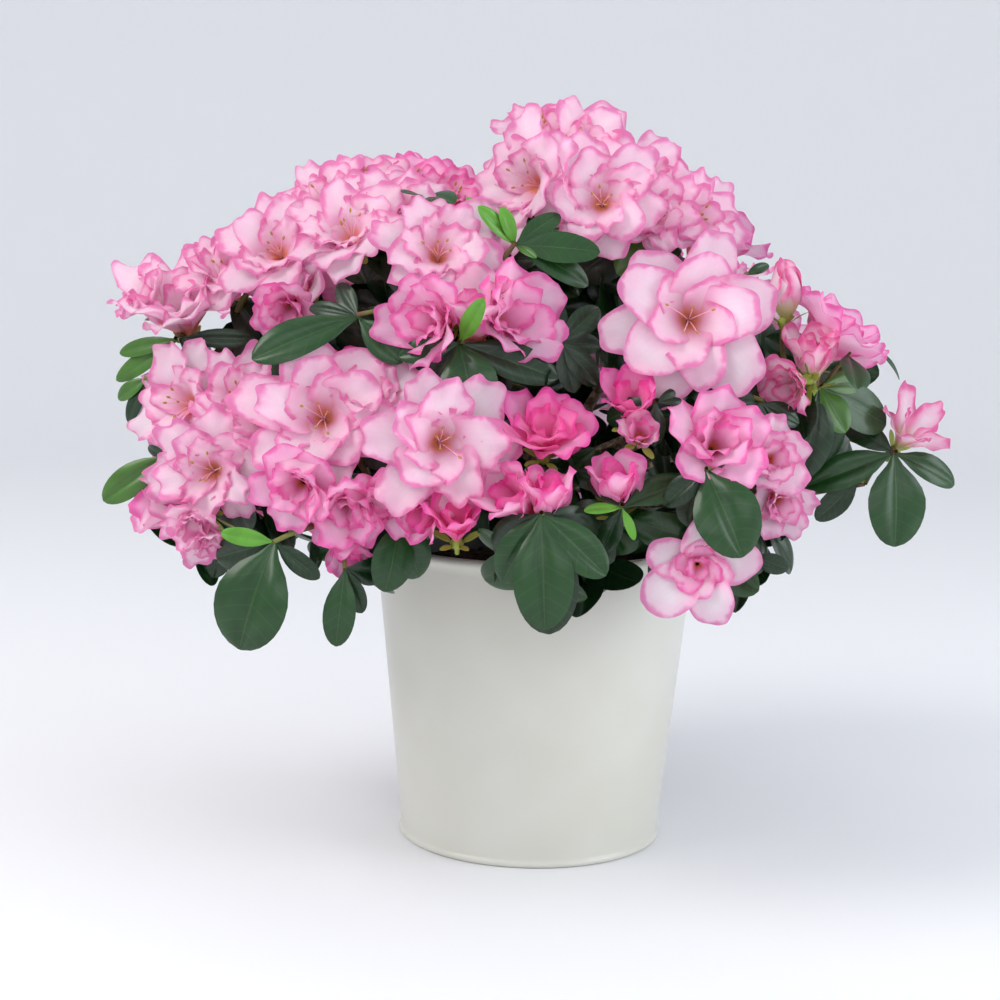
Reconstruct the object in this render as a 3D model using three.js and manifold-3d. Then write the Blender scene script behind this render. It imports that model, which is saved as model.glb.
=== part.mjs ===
// A florist's pot azalea: a low evergreen shrub with double pink blooms, in a tapered metal pot.
// Millimetres, +Z up. The origin is the middle of the pot's flat underside, and -Y is the side that the
// fullest blooms face. A short stem stands in the soil. One bough runs from it to each mass of the crown,
// and a mass is a stem, twigs, leaves and blooms fused into one solid that keeps to its own space.
import * as THREE from "three";
import { mergeVertices } from "three/addons/utils/BufferGeometryUtils.js";
import Module from "manifold-3d";

const wasm = await Module();
wasm.setup();

// The gap between solids that stand against each other.
const GAP = 0.3;
// Edges that fusing leaves closer than the first of these are welded. The others are for a mass where
// that weld would pinch four faces onto one edge.
const WELDS = [0.08, 0.07, 0.09, 0.06, 0.1, 0.05, 0.04];
const RAD = Math.PI / 180;

// The pot: a thin tapered wall with a flat floor, a rolled lip and a rolled foot.
const POT = {
  height: 130,
  lipRadius: 70,
  footRadius: 56.5,
  wall: 1.6,
  lipHeight: 4.5,
  lipStep: 1.8,
  footStep: 1.2,
  sides: 36,
};
// The soil stands below the lip, flat under the stem and falling a little to the wall.
const SOIL = { below: 13, flatRadius: 24, fall: 4 };
// The stem: radius at the flat cut, above the root flare and at its tip.
const STEM = { height: 56, flareRadius: 15, radius: 8.2, tipRadius: 5.6, sides: 10 };
const BOUGH = { radius: 2.7, tipRadius: 1.9, sides: 6, steps: 5 };
const TWIG = { radius: 1.5, tipRadius: 1.0, sides: 3 };
// A leaf's length, its width and thickness as shares of that, and where it is widest.
const LEAF = { length: 41, width: 0.62, thick: 0.034, widest: 0.56, sunk: 3 };
// The middle of the crown, which the masses face away from.
const CROWN_HEART = new THREE.Vector3(0, 0, 140);

const COLOURS = {
  pot: 0xd2d3cc,
  soil: 0x1c1713,
  wood: 0x5d4a38,
  foliage: 0xd886b4,
};

// What a shoot bears. turn is round Z from the front, positive to the right, and lift is above level,
// both in degrees. turn, lift and out lead from the mass's heart to the shoot's face or tip, and the
// second pair is the way that it faces. green is how many leaves stand below a flower.
const flower = (bears) => (turn, lift, out, width, faceTurn, faceLift, green = 3) => ({
  bears, turn, lift, out, width, faceTurn, faceLift, green,
});
const bloom = flower("bloom");
const openBloom = flower("open");
const star = flower("star");
const cup = flower("cup");
const tulip = flower("tulip");
const bud = flower("bud");
// A leafy tip. Each blade has its turn, lift, length and its width as a share of that.
const leafTip = (turn, lift, out, faceTurn, faceLift, blades) => ({
  bears: "leaves", turn, lift, out, width: 0, faceTurn, faceLift, blades,
});

// The masses of the crown. heart is the middle of each, reach its radius, fork the height at which its
// bough leaves the stem, fill how many shoots the spiral rule tries to add and flowering their share of
// blooms.
const MASSES = [
  {
    name: "top_right", heart: [46, -12, 224], reach: 60, fork: 166, fill: 4, flowering: 0.6,
    shoots: [
      bloom(-60, 41, 87, 47, -42, 12), bloom(-64, 64, 81, 42, 5, 40), bloom(-83, 58, 92, 34, -10, 45),
      bloom(-27, 43, 74, 44, -5, 15), bloom(-20, 76, 63, 36, 15, 35), bloom(34, 57, 54, 37, 28, 30),
      bloom(-3, 54, 56, 34, 10, 25), tulip(56, 40, 43, 17, 75, 35, 0),
    ],
  },
  {
    name: "top_left", heart: [-54, -18, 222], reach: 58, fork: 166, fill: 3, flowering: 0.6,
    shoots: [
      bloom(-29, 39, 65, 44, -20, 42), bloom(-10, 57, 60, 34, -5, 45), bloom(-90, 54, 64, 38, -30, 45),
      bloom(-108, 71, 60, 36, 0, 50), bloom(-175, 77, 61, 34, 10, 55), bloom(116, 71, 57, 30, 10, 45),
      leafTip(11, 59, 59, 0, 60, [[-28, 14, 16, 0.5], [37, 13, 18, 0.7]]),
    ],
  },
  {
    name: "left_high", heart: [-108, -24, 192], reach: 56, fork: 152, fill: 3, flowering: 0.5,
    shoots: [
      cup(-72, 45, 63, 50, -20, 56, 0), bloom(-74, 67, 57, 36, 0, 45), cup(-86, 35, 71, 28, -60, 35, 0),
      bloom(2, 67, 67, 42, -8, 30), cup(8, 40, 53, 28, -10, -20), bloom(-45, -1, 54, 45, -40, 12),
      bloom(-10, 4, 57, 36, -10, 30),
      leafTip(-58, 27, 50, -20, 10, [[-96, -12, 28, 0.26], [-102, -31, 34, 0.26], [75, 4, 32, 0.26],
        [39, -17, 16, 0.4]]),
      leafTip(-67, 7, 55, -40, 0, [[-101, -30, 18, 0.4], [-90, -59, 21, 0.4]]),
    ],
  },
  {
    name: "left_low", heart: [-124, -45, 148], reach: 50, fork: 135, fill: 0, flowering: 0,
    shoots: [
      bloom(-5, 21, 55, 42, -12, 5), tulip(-43, 4, 48, 22, -60, 0, 0), cup(-11, -4, 54, 24, -15, -30, 0),
      cup(-3, -13, 50, 22, 10, -60, 0),
      leafTip(-39, 33, 42, -20, 0, [[-86, -34, 33, 0.42], [-117, 8, 13, 0.35], [9, -69, 33, 0.6]]),
    ],
  },
  {
    name: "front_left", heart: [-64, -84, 156], reach: 58, fork: 142, fill: 0, flowering: 0,
    shoots: [
      bloom(-41, 51, 47, 54, 0, 16), bloom(-77, 35, 53, 34, -15, 10), cup(-1, 73, 49, 30, 10, 45, 0),
      bloom(37, 32, 53, 49, 8, 8), cup(-42, 10, 44, 30, -12, -8, 0), cup(-15, -3, 33, 32, 5, -20, 0),
      cup(9, 7, 31, 24, 5, -10, 0), tulip(-19, -43, 32, 16, 25, -62, 0), tulip(39, 6, 52, 20, 0, 48, 0),
      tulip(25, -3, 38, 17, -40, -15, 0),
      leafTip(-52, -15, 47, -10, 10, [[-44, -60, 44, 0.7], [-79, 10, 21, 0.34], [-115, -17, 30, 0.5],
        [70, -37, 22, 0.4]]),
      leafTip(-22, -41, 34, 0, 0, [[-17, -70, 31, 0.42], [90, -70, 19, 0.45], [116, -12, 19, 0.6]]),
    ],
  },
  {
    name: "front_high", heart: [-24, -70, 204], reach: 56, fork: 150, fill: 0, flowering: 0,
    shoots: [
      bloom(-54, 68, 55, 44, 5, 28), cup(-39, 31, 45, 36, -40, 6, 0), cup(32, 42, 41, 40, 38, 20, 0),
      tulip(-6, 51, 45, 25, -5, 60, 0),
      leafTip(-71, 25, 55, -20, 25, [[-76, -19, 43, 0.42], [-105, 14, 24, 0.3], [59, -38, 25, 0.5],
        [-140, 41, 21, 0.4]]),
      leafTip(-16, 27, 33, 0, 20, [[69, 45, 24, 0.3], [21, -51, 31, 0.74], [-85, -10, 24, 0.42],
        [90, -17, 40, 0.4], [-107, -55, 24, 0.6], [104, -40, 31, 0.6]]),
      leafTip(65, 24, 37, 10, 20, [[111, 42, 22, 0.5], [103, 0, 18, 0.5], [57, -69, 20, 0.5],
        [-148, 63, 21, 0.5], [83, -45, 22, 0.5]]),
      leafTip(72, 76, 53, 5, 30, [[119, 35, 25, 0.36], [79, 1, 33, 0.42], [75, -17, 33, 0.36],
        [-102, 47, 28, 0.2], [-52, 43, 22, 0.34], [-19, 53, 17, 0.36], [37, -12, 13, 0.3]]),
    ],
  },
  {
    name: "front_low", heart: [8, -92, 150], reach: 55, fork: 134, fill: 0, flowering: 0,
    shoots: [
      cup(-19, 66, 46, 35, 5, 50, 2), tulip(-36, 26, 45, 23, -40, 35, 0), tulip(-10, 35, 41, 20, 5, 76, 0),
      tulip(34, 38, 43, 20, -10, 62, 0),
      leafTip(-13, 14, 38, 0, 20, [[9, -71, 43, 0.56], [-75, -59, 31, 0.55], [76, -40, 33, 0.5],
        [63, -84, 46, 0.56], [-115, -36, 29, 0.5], [107, -16, 29, 0.5]]),
      leafTip(38, 17, 37, 0, 40, [[-66, 4, 15, 0.34], [113, 24, 34, 0.4], [41, -52, 13, 0.3],
        [141, 27, 23, 0.5], [-76, -64, 19, 0.5], [-124, 41, 19, 0.5]]),
    ],
  },
  {
    name: "right_high", heart: [60, -70, 200], reach: 58, fork: 148, fill: 0, flowering: 0,
    shoots: [
      bloom(-10, 50, 40, 58, 0, 8, 2), tulip(-39, 7, 44, 20, -12, 46, 0), tulip(-29, -12, 49, 14, 0, 25, 0),
      cup(7, -13, 50, 37, 8, 25, 1),
      leafTip(126, 62, 51, 20, 30, [[111, 26, 13, 0.36], [105, -42, 11, 0.45], [1, -73, 14, 0.45]]),
      leafTip(-32, -3, 33, 10, 25, [[-96, -17, 22, 0.5], [4, -77, 17, 0.5], [-125, 37, 9, 0.5],
        [114, 13, 15, 0.5]]),
      leafTip(60, -5, 28, 20, 20, [[-80, 16, 25, 0.5], [30, -79, 23, 0.5], [104, -25, 19, 0.5],
        [-45, -52, 19, 0.5]]),
    ],
  },
  {
    name: "right", heart: [112, -50, 200], reach: 52, fork: 158, fill: 0, flowering: 0,
    shoots: [
      bud(-59, 69, 54, 17, 0, 84, 0), cup(67, 71, 31, 44, 72, 52, 0), tulip(-17, 45, 33, 20, -8, 72, 0),
      cup(-33, 5, 36, 24, -50, -10, 0),
      leafTip(-12, 12, 8, 10, 20, [[110, -24, 38, 0.5], [63, -52, 21, 0.6], [-21, -66, 38, 0.5],
        [78, -74, 33, 0.5], [-69, -3, 33, 0.45], [114, 8, 25, 0.4]]),
      leafTip(113, 32, 30, 60, 20, [[98, -33, 18, 0.2]]),
    ],
  },
  {
    name: "right_tip", heart: [132, -46, 162], reach: 44, fork: 138, fill: 0, flowering: 0,
    shoots: [
      star(93, 51, 31, 26, 28, 45, 0),
      leafTip(80, 48, 17, 10, 25, [[9, -71, 38, 0.66], [-77, -17, 38, 0.4], [86, -18, 31, 0.4],
        [-102, 35, 24, 0.5]]),
      leafTip(-34, 22, 5, 0, 0, [[-83, -45, 24, 0.45], [-109, -14, 19, 0.4]]),
    ],
  },
  {
    name: "right_low", heart: [70, -86, 148], reach: 54, fork: 140, fill: 0, flowering: 0,
    shoots: [
      cup(37, 47, 44, 27, 12, 15, 0), cup(51, 23, 31, 24, 15, -8, 0),
      openBloom(-17, -13, 41, 38, -3, -5, 0),
      leafTip(-16, 38, 45, 0, 20, [[31, -45, 36, 0.74], [-97, -42, 21, 0.5], [121, -6, 31, 0.5],
        [-153, -71, 27, 0.6]]),
      leafTip(31, -18, 22, 20, -10, [[74, -20, 15, 0.55], [122, 39, 10, 0.5]]),
    ],
  },
  {
    name: "back_top", heart: [4, 44, 228],
    reach: 58, fork: 164, fill: 9, flowering: 0.62, shoots: [],
  },
  {
    name: "back_left_high", heart: [-82, 46, 200],
    reach: 54, fork: 160, fill: 8, flowering: 0.6, shoots: [],
  },
  {
    name: "back_right_high", heart: [78, 48, 186],
    reach: 54, fork: 156, fill: 8, flowering: 0.6, shoots: [],
  },
  {
    name: "back", heart: [2, 98, 186],
    reach: 54, fork: 150, fill: 9, flowering: 0.6, shoots: [],
  },
  {
    name: "left_back", heart: [-110, 36, 154],
    reach: 44, fork: 144, fill: 8, flowering: 0.6, shoots: [],
  },
  {
    name: "right_back", heart: [100, 68, 170],
    reach: 52, fork: 145, fill: 7, flowering: 0, shoots: [],
  },
  {
    name: "back_left_low", heart: [-62, 88, 148],
    reach: 48, fork: 136, fill: 8, flowering: 0.6, shoots: [],
  },
  {
    name: "back_right_low", heart: [65, 88, 150],
    reach: 48, fork: 135, fill: 7, flowering: 0.6, shoots: [],
  },
];

// A number from 0 to 1 that the same three seeds always give.
function chance(a, b, c) {
  const s = Math.sin(a * 127.1 + b * 311.7 + c * 74.7) * 43758.5453;
  return s - Math.floor(s);
}

// The direction that a turn and a lift give.
function direction(turn, lift) {
  const level = Math.cos(lift * RAD);
  return new THREE.Vector3(
    level * Math.sin(turn * RAD),
    -level * Math.cos(turn * RAD),
    Math.sin(lift * RAD),
  );
}

// Two directions square to d and to each other.
function across(d) {
  const helper = Math.abs(d.z) < 0.9 ? new THREE.Vector3(0, 0, 1) : new THREE.Vector3(1, 0, 0);
  const first = new THREE.Vector3().crossVectors(helper, d).normalize();
  return [first, new THREE.Vector3().crossVectors(d, first)];
}

// A closed geometry as a solid, with its faces turned outwards.
function solidOf(geometry) {
  const bare = geometry.clone();
  bare.deleteAttribute("normal");
  bare.deleteAttribute("uv");
  const merged = mergeVertices(bare, 1e-4);
  const index = merged.index.array;
  const kept = [];
  for (let i = 0; i < index.length; i += 3) {
    const [a, b, c] = [index[i], index[i + 1], index[i + 2]];
    if (a !== b && b !== c && c !== a) kept.push(a, b, c);
  }
  const made = (triangles) =>
    new wasm.Manifold(
      new wasm.Mesh({
        numProp: 3,
        vertProperties: merged.attributes.position.array,
        triVerts: new Uint32Array(triangles),
      }),
    );
  const solid = made(kept);
  return solid.volume() < 0 ? made(kept.reverse()) : solid;
}

// A solid as a geometry again.
function geometryOf(solid) {
  const { vertProperties, triVerts } = solid.getMesh();
  return new THREE.BufferGeometry()
    .setAttribute("position", new THREE.BufferAttribute(vertProperties, 3))
    .setIndex(new THREE.BufferAttribute(triVerts, 1))
    .toNonIndexed();
}

// Whether every edge of a geometry lies between just two of its faces.
function isShut(geometry) {
  const place = geometry.getAttribute("position");
  const corner = (i) => [place.getX(i), place.getY(i), place.getZ(i)].map((n) => n.toFixed(4)).join();
  const faces = new Map();
  for (let i = 0; i < place.count; i += 3) {
    const [a, b, c] = [corner(i), corner(i + 1), corner(i + 2)];
    if (a === b || b === c || c === a) continue;
    [[a, b], [b, c], [c, a]].forEach((ends) => {
      const edge = ends.sort().join();
      faces.set(edge, (faces.get(edge) ?? 0) + 1);
    });
  }
  return [...faces.values()].every((count) => count === 2);
}

// A fused solid as a geometry, with its closest edges welded.
function welded(solid) {
  for (const weld of WELDS) {
    const geometry = geometryOf(outerPiece(solid.asOriginal().simplify(weld)));
    if (isShut(geometry)) return geometry;
  }
  throw new Error("no weld leaves this solid shut");
}

// Places a geometry whose own +Y is its length: that turns to way, and its +X to side.
function placed(geometry, at, way, side) {
  const x = side.clone().addScaledVector(way, -side.dot(way)).normalize();
  const z = new THREE.Vector3().crossVectors(x, way);
  return geometry.applyMatrix4(new THREE.Matrix4().makeBasis(x, way, z).setPosition(at));
}

// A round rod that tapers along a smooth curve through points. radiusAt takes 0 at its foot and 1 at
// its tip.
function limb(points, radiusAt, sides, steps) {
  const curve = new THREE.CatmullRomCurve3(points);
  const frames = curve.computeFrenetFrames(steps);
  const rod = new THREE.CylinderGeometry(1, 1, 1, sides, steps);
  const place = rod.getAttribute("position");
  const v = new THREE.Vector3();
  for (let i = 0; i < place.count; i++) {
    v.fromBufferAttribute(place, i);
    const along = v.y + 0.5;
    const step = Math.round(along * steps);
    const radius = radiusAt(along);
    const at = curve
      .getPointAt(along)
      .addScaledVector(frames.normals[step], v.x * radius)
      .addScaledVector(frames.binormals[step], -v.z * radius);
    place.setXYZ(i, at.x, at.y, at.z);
  }
  return rod;
}

const taper = (foot, tip) => (along) => foot + (tip - foot) * along;

// The pot and the soil are turned about the upright axis, from profiles of radius and height.
function turned(profile) {
  const points = profile.map(([radius, height]) => new THREE.Vector2(radius, height));
  return new THREE.LatheGeometry(points, POT.sides).rotateX(Math.PI / 2);
}

const bodyTop = POT.height - POT.lipHeight;
const bodyFoot = POT.footRadius - POT.footStep;
const outerAt = (z) => bodyFoot + ((POT.lipRadius - POT.lipStep - bodyFoot) * z) / bodyTop;
const innerAt = (z) => outerAt(z) - POT.wall;

function potGeometry() {
  const lip = POT.height - POT.lipHeight / 2;
  const foot = 3.2;
  return turned([
    [0, 0],
    [POT.footRadius - 1, 0],
    [POT.footRadius, foot / 2],
    [outerAt(foot), foot],
    [outerAt(bodyTop), bodyTop],
    [POT.lipRadius, bodyTop + 1],
    [POT.lipRadius, lip + 1.2],
    [POT.lipRadius - 1.4, POT.height],
    [innerAt(lip), POT.height - 0.8],
    [innerAt(POT.wall), POT.wall],
    [0, POT.wall],
  ]);
}

const soilTop = POT.height - SOIL.below;

function soilGeometry() {
  const floor = POT.wall + GAP;
  const edge = soilTop - SOIL.fall;
  return turned([
    [0, floor],
    [innerAt(floor) - GAP, floor],
    [innerAt(edge) - GAP, edge],
    [SOIL.flatRadius, soilTop],
    [0, soilTop],
  ]);
}

// The stem leans a little and bends back, and swells into its root flare at the soil.
const stemFoot = soilTop + GAP;
const stemLine = new THREE.CatmullRomCurve3([
  new THREE.Vector3(0, 2, stemFoot),
  new THREE.Vector3(1.5, 2, stemFoot + STEM.height * 0.35),
  new THREE.Vector3(-1, 1, stemFoot + STEM.height * 0.7),
  new THREE.Vector3(0, 0, stemFoot + STEM.height),
]);
const flare = (along) => (STEM.flareRadius - STEM.radius) * Math.pow(1 - Math.min(along / 0.3, 1), 2);
const stemRadius = (along) => taper(STEM.radius, STEM.tipRadius)(along) + flare(along);

function stemGeometry() {
  const steps = 10;
  const rod = limb(stemLine.points, stemRadius, STEM.sides, steps);
  // The cut at the soil is flat, whatever way the curve starts.
  const place = rod.getAttribute("position");
  for (let i = 0; i < place.count; i++) if (place.getZ(i) < stemFoot + 2) place.setZ(i, stemFoot);
  return rod;
}

const unit = (to, from) => new THREE.Vector3().subVectors(to, from).normalize();

// Where a mass's bough ends, and the way that it points there.
function boughEnd(mass) {
  const heart = new THREE.Vector3(...mass.heart);
  const inwards = unit(new THREE.Vector3(0, 0, mass.fork - 8), heart);
  return { tip: heart.clone().addScaledVector(inwards, mass.reach * 0.5), way: inwards.negate() };
}

// A bough leaves the stem's side squarely, bends up and ends where it enters its mass.
function boughGeometry(mass, grown = 0) {
  const { tip, way } = boughEnd(mass);
  const along = (mass.fork - stemFoot) / STEM.height;
  const axis = stemLine.getPointAt(along);
  const level = new THREE.Vector3(tip.x - axis.x, tip.y - axis.y, 0).normalize();
  const clear = stemRadius(Math.max(along - 0.06, 0)) + GAP + 0.15;
  const foot = axis.clone().addScaledVector(level, clear - grown);
  const far = foot.distanceTo(tip);
  const line = [
    foot,
    foot.clone().addScaledVector(level, far * 0.12).add(new THREE.Vector3(0, 0, far * 0.03)),
    tip.clone().addScaledVector(way, -far * 0.3).add(new THREE.Vector3(0, 0, far * 0.04)),
    tip,
  ];
  const radiusAt = (share) => taper(BOUGH.radius, BOUGH.tipRadius)(share) + grown;
  return limb(line, radiusAt, BOUGH.sides, BOUGH.steps);
}

// The shoots of a mass: those that it names, then those of a golden-angle spiral round the way it faces,
// where there is room between them.
function shootsOf(mass, number) {
  const heart = new THREE.Vector3(...mass.heart);
  const facing = unit(heart, CROWN_HEART);
  const [first, second] = across(facing);
  const found = mass.shoots.map((shoot) => {
    const fromHeart = direction(shoot.turn, shoot.lift);
    const way = direction(shoot.faceTurn, shoot.faceLift);
    const centre = heart.clone().addScaledVector(fromHeart, shoot.out);
    const tip = centre.addScaledVector(way, -shoot.width * DEPTH[shoot.bears] * SEAT);
    return { ...shoot, fromHeart, way, tip };
  });
  for (let k = 0; k < mass.fill; k++) {
    const polar = Math.acos(1 - ((k + 0.5) / mass.fill) * 1.22);
    const round = (k * 137.5 + number * 40) * RAD;
    const way = facing
      .clone()
      .multiplyScalar(Math.cos(polar))
      .addScaledVector(first, Math.sin(polar) * Math.cos(round))
      .addScaledVector(second, Math.sin(polar) * Math.sin(round));
    const room = found.every((other) => other.fromHeart.angleTo(way) > 36 * RAD);
    if (!room || way.z < -0.62) continue;
    const flowers = chance(number, k, 1) < mass.flowering;
    const open = chance(number, k, 2) < 0.75;
    const bears = flowers ? (open ? "bloom" : "cup") : "leaves";
    const out = mass.reach * (0.9 + 0.2 * chance(number, k, 3));
    const width = flowers ? (open ? 46 : 34) + 10 * chance(number, k, 4) : 0;
    const tip = heart.clone().addScaledVector(way, Math.max(out - width * DEPTH[bears] * SEAT, 10));
    found.push({ bears, out, width, green: 3, fromHeart: way, way, tip });
  }
  return found;
}

// How deep a flower is from its green foot to its face, as a share of its width, and how much of that
// lies behind the middle of its face.
const DEPTH = { bloom: 0.46, open: 0.4, star: 0.75, cup: 0.7, tulip: 1.3, bud: 1.6, leaves: 0 };
const SEAT = 0.85;

// The outline of half a flower from its foot to the middle of its face: radius and height as shares of
// its width and depth, and how strongly five petals notch it there.
const OUTLINES = {
  bloom: [[0, 0, 0], [0.54, 0.8, 0.12], [0.24, 1.08, 0.08], [0, 0.7, 0]],
  open: [[0, 0, 0], [0.6, 0.7, 0.14], [0.22, 1, 0.08], [0, 0.7, 0]],
  star: [[0, 0, 0], [0.56, 0.9, 0.2], [0.2, 0.8, 0.1], [0, 0.6, 0]],
  cup: [[0, 0, 0], [0.52, 0.95, 0.12], [0.24, 1, 0.1], [0, 0.72, 0]],
  tulip: [[0, 0, 0], [0.52, 0.9, 0.12], [0.26, 0.94, 0.08], [0, 0.7, 0]],
  bud: [[0, 0, 0], [0.5, 0.42, 0], [0, 1, 0]],
};

function flowerGeometry(shoot, foot, spin) {
  const depth = DEPTH[shoot.bears] * shoot.width;
  const outline = OUTLINES[shoot.bears];
  const points = outline.map(([r, h]) => new THREE.Vector2(r * shoot.width, h * depth));
  const lobed = shoot.bears !== "bud";
  const sides = { bud: 5, tulip: 6, cup: 8 }[shoot.bears] ?? 10;
  const made = new THREE.LatheGeometry(points, sides);
  const place = made.getAttribute("position");
  for (let i = 0; i < place.count; i++) {
    const ring = i % outline.length;
    const side = Math.floor(i / outline.length) % sides;
    const notch = lobed && side % 2 ? 1 - outline[ring][2] * 1.6 : 1;
    const wave = lobed && side % 2 ? -outline[ring][2] * depth * 0.6 : 0;
    place.setXYZ(i, place.getX(i) * notch, place.getY(i) + wave, place.getZ(i) * notch);
  }
  const [first, second] = across(shoot.way);
  const side = first.multiplyScalar(Math.cos(spin)).addScaledVector(second, Math.sin(spin));
  return placed(made, foot, shoot.way, side);
}

// A leaf of eight faces: four points of its outline and a ridge on each side. Its foot is sunk in the twig.
function leafGeometry(foot, way, side, length, width = LEAF.width) {
  const leaf = new THREE.OctahedronGeometry(1);
  const place = leaf.getAttribute("position");
  for (let i = 0; i < place.count; i++) {
    const [x, y, z] = [place.getX(i), place.getY(i), place.getZ(i)];
    const along = y > 0.5 ? length : y < -0.5 ? -LEAF.sunk : length * LEAF.widest;
    place.setXYZ(i, (x * length * width) / 2, along, (z * length * LEAF.thick) / 2);
  }
  return placed(leaf, foot, way, side);
}

// The leaves of a shoot: those that it names, or a whorl just below its flower or round its tip. Low
// ones hang more.
function leavesOf(number, shoot, which) {
  const { tip } = shoot;
  if (shoot.blades) {
    return shoot.blades.map(([turn, lift, length, width]) => {
      const way = direction(turn, lift);
      const side = new THREE.Vector3().crossVectors(way, shoot.way).normalize();
      return leafGeometry(tip, way, side, length, width);
    });
  }
  const [first, second] = across(shoot.way);
  const flowers = shoot.bears !== "leaves";
  const count = flowers ? shoot.green : 5;
  const hang = Math.min(Math.max((172 - tip.z) / 60, 0.12), 0.8);
  const found = [];
  for (let i = 0; i < count; i++) {
    const seed = which * 10 + i;
    const turns = (i + 0.5 * chance(number, seed, 5)) / count;
    const round = turns * 2 * Math.PI + chance(number, which, 6) * 2;
    const open = (flowers ? 62 : 66) + 18 * chance(number, seed, 7);
    const length = LEAF.length * (0.82 + 0.3 * chance(number, seed, 8));
    const outwards = first.clone().multiplyScalar(Math.cos(round)).addScaledVector(second, Math.sin(round));
    const way = shoot.way
      .clone()
      .multiplyScalar(Math.cos(open * RAD))
      .addScaledVector(outwards, Math.sin(open * RAD))
      .add(new THREE.Vector3(0, 0, -hang))
      .normalize();
    const side = new THREE.Vector3().crossVectors(way, shoot.way).normalize();
    const foot = tip.clone().addScaledVector(shoot.way, -1.5 - (i % 3) * 1.6);
    found.push(leafGeometry(foot, way, side, length));
  }
  return found;
}

// The half-space boxes that lie past the planes between a mass and its neighbours. A point on a plane is
// as far from both, once each has its own reach taken off.
const HALF = 500;
function neighbourWalls(mass) {
  const heart = new THREE.Vector3(...mass.heart);
  return MASSES.filter((other) => other !== mass).map((other) => {
    const away = new THREE.Vector3(...other.heart).sub(heart);
    const far = away.length();
    const share = 0.5 + (mass.reach ** 2 - other.reach ** 2) / (2 * far * far);
    return { normal: away.normalize(), at: heart.dot(away) + far * share - GAP };
  });
}

function beyond(wall) {
  const box = new THREE.BoxGeometry(2 * HALF, 2 * HALF, 2 * HALF);
  const middle = wall.normal.clone().multiplyScalar(wall.at + HALF);
  return solidOf(placed(box, middle, wall.normal, across(wall.normal)[0]));
}

function leavesSpace(geometry, walls) {
  const place = geometry.getAttribute("position");
  const v = new THREE.Vector3();
  for (let i = 0; i < place.count; i++) {
    v.fromBufferAttribute(place, i);
    if (walls.some((wall) => v.dot(wall.normal) > wall.at)) return true;
  }
  return false;
}

// The wood that a mass keeps clear of: the pot, the stem and every bough, each a little stouter than it is.
function obstacles() {
  const spare = 0.6;
  const potAround = turned([
    [0, -5],
    [POT.footRadius + spare, -5],
    [POT.lipRadius + spare, bodyTop - 6],
    [POT.lipRadius + spare, POT.height + spare],
    [0, POT.height + spare],
  ]);
  const stemAround = limb(stemLine.points, (along) => stemRadius(along) + spare, STEM.sides, 10);
  return [potAround, stemAround, ...MASSES.map((mass) => boughGeometry(mass, spare))]
    .map(solidOf)
    .reduce((all, one) => all.add(one));
}

const around = obstacles();
const touches = (solid, other) => solid.intersect(other).volume() > 0;

// The largest piece of a fused mass, without the hollows that its leaves shut in.
function outerPiece(solid) {
  return solid.decompose().reduce((best, one) => (one.volume() > best.volume() ? one : best));
}

// One mass: the stem inside it, a twig to each shoot from the nearest wood that has grown, then flowers
// and leaves.
function massGeometry(mass, number) {
  const heart = new THREE.Vector3(...mass.heart);
  const { tip: start, way } = boughEnd(mass);
  const foot = start.clone().addScaledVector(way, GAP);
  const walls = neighbourWalls(mass);
  let fused = solidOf(limb([foot, heart], taper(BOUGH.tipRadius, TWIG.radius + 0.2), 6, 1));
  const reach = foot.distanceTo(heart);
  const wood = [0.55, 1].map((share) => ({
    at: foot.clone().lerp(heart, share),
    way: reach * share,
  }));
  const flowers = [];
  const grown = shootsOf(mass, number).map((shoot, which) => {
    const { tip } = shoot;
    const parent = wood.reduce((best, one) =>
      one.at.distanceTo(tip) + 0.35 * one.way < best.at.distanceTo(tip) + 0.35 * best.way ? one : best,
    );
    const far = parent.at.distanceTo(tip);
    const bow = new THREE.Vector3(chance(number, which, 9) - 0.5, chance(number, which, 10) - 0.5, 0.5);
    const middle = parent.at.clone().lerp(tip, 0.5).addScaledVector(bow, far * 0.16);
    const end = tip.clone().addScaledVector(shoot.way, 2.5);
    const twig = limb([parent.at, middle, end], taper(TWIG.radius, TWIG.tipRadius), TWIG.sides, 2);
    const twigSolid = solidOf(twig);
    if (leavesSpace(twig, walls) || touches(twigSolid, around)) return [];
    fused = fused.add(twigSolid);
    wood.push({ at: middle, way: parent.way + far * 0.5 }, { at: tip, way: parent.way + far });
    if (shoot.bears !== "leaves") {
      const geometry = flowerGeometry(shoot, tip, chance(number, which, 11) * 2 * Math.PI);
      let flower = solidOf(geometry);
      if (leavesSpace(geometry, walls)) walls.forEach((wall) => (flower = flower.subtract(beyond(wall))));
      if (touches(flower, around)) flower = flower.subtract(around);
      fused = fused.add(flower);
      flowers.push(flower);
    }
    return leavesOf(number, shoot, which);
  });
  grown.flat().forEach((leaf) => {
    if (leavesSpace(leaf, walls)) return;
    const solid = solidOf(leaf);
    if (touches(solid, around) || flowers.some((flower) => solid.intersect(flower).volume() > 4)) return;
    fused = fused.add(solid);
  });
  return welded(fused);
}

const azalea = new THREE.Group();

function addPiece(name, geometry, colour, roughness, metalness = 0) {
  const material = new THREE.MeshStandardMaterial({ color: colour, roughness, metalness });
  const mesh = new THREE.Mesh(geometry, material);
  mesh.name = name;
  azalea.add(mesh);
}

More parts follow.
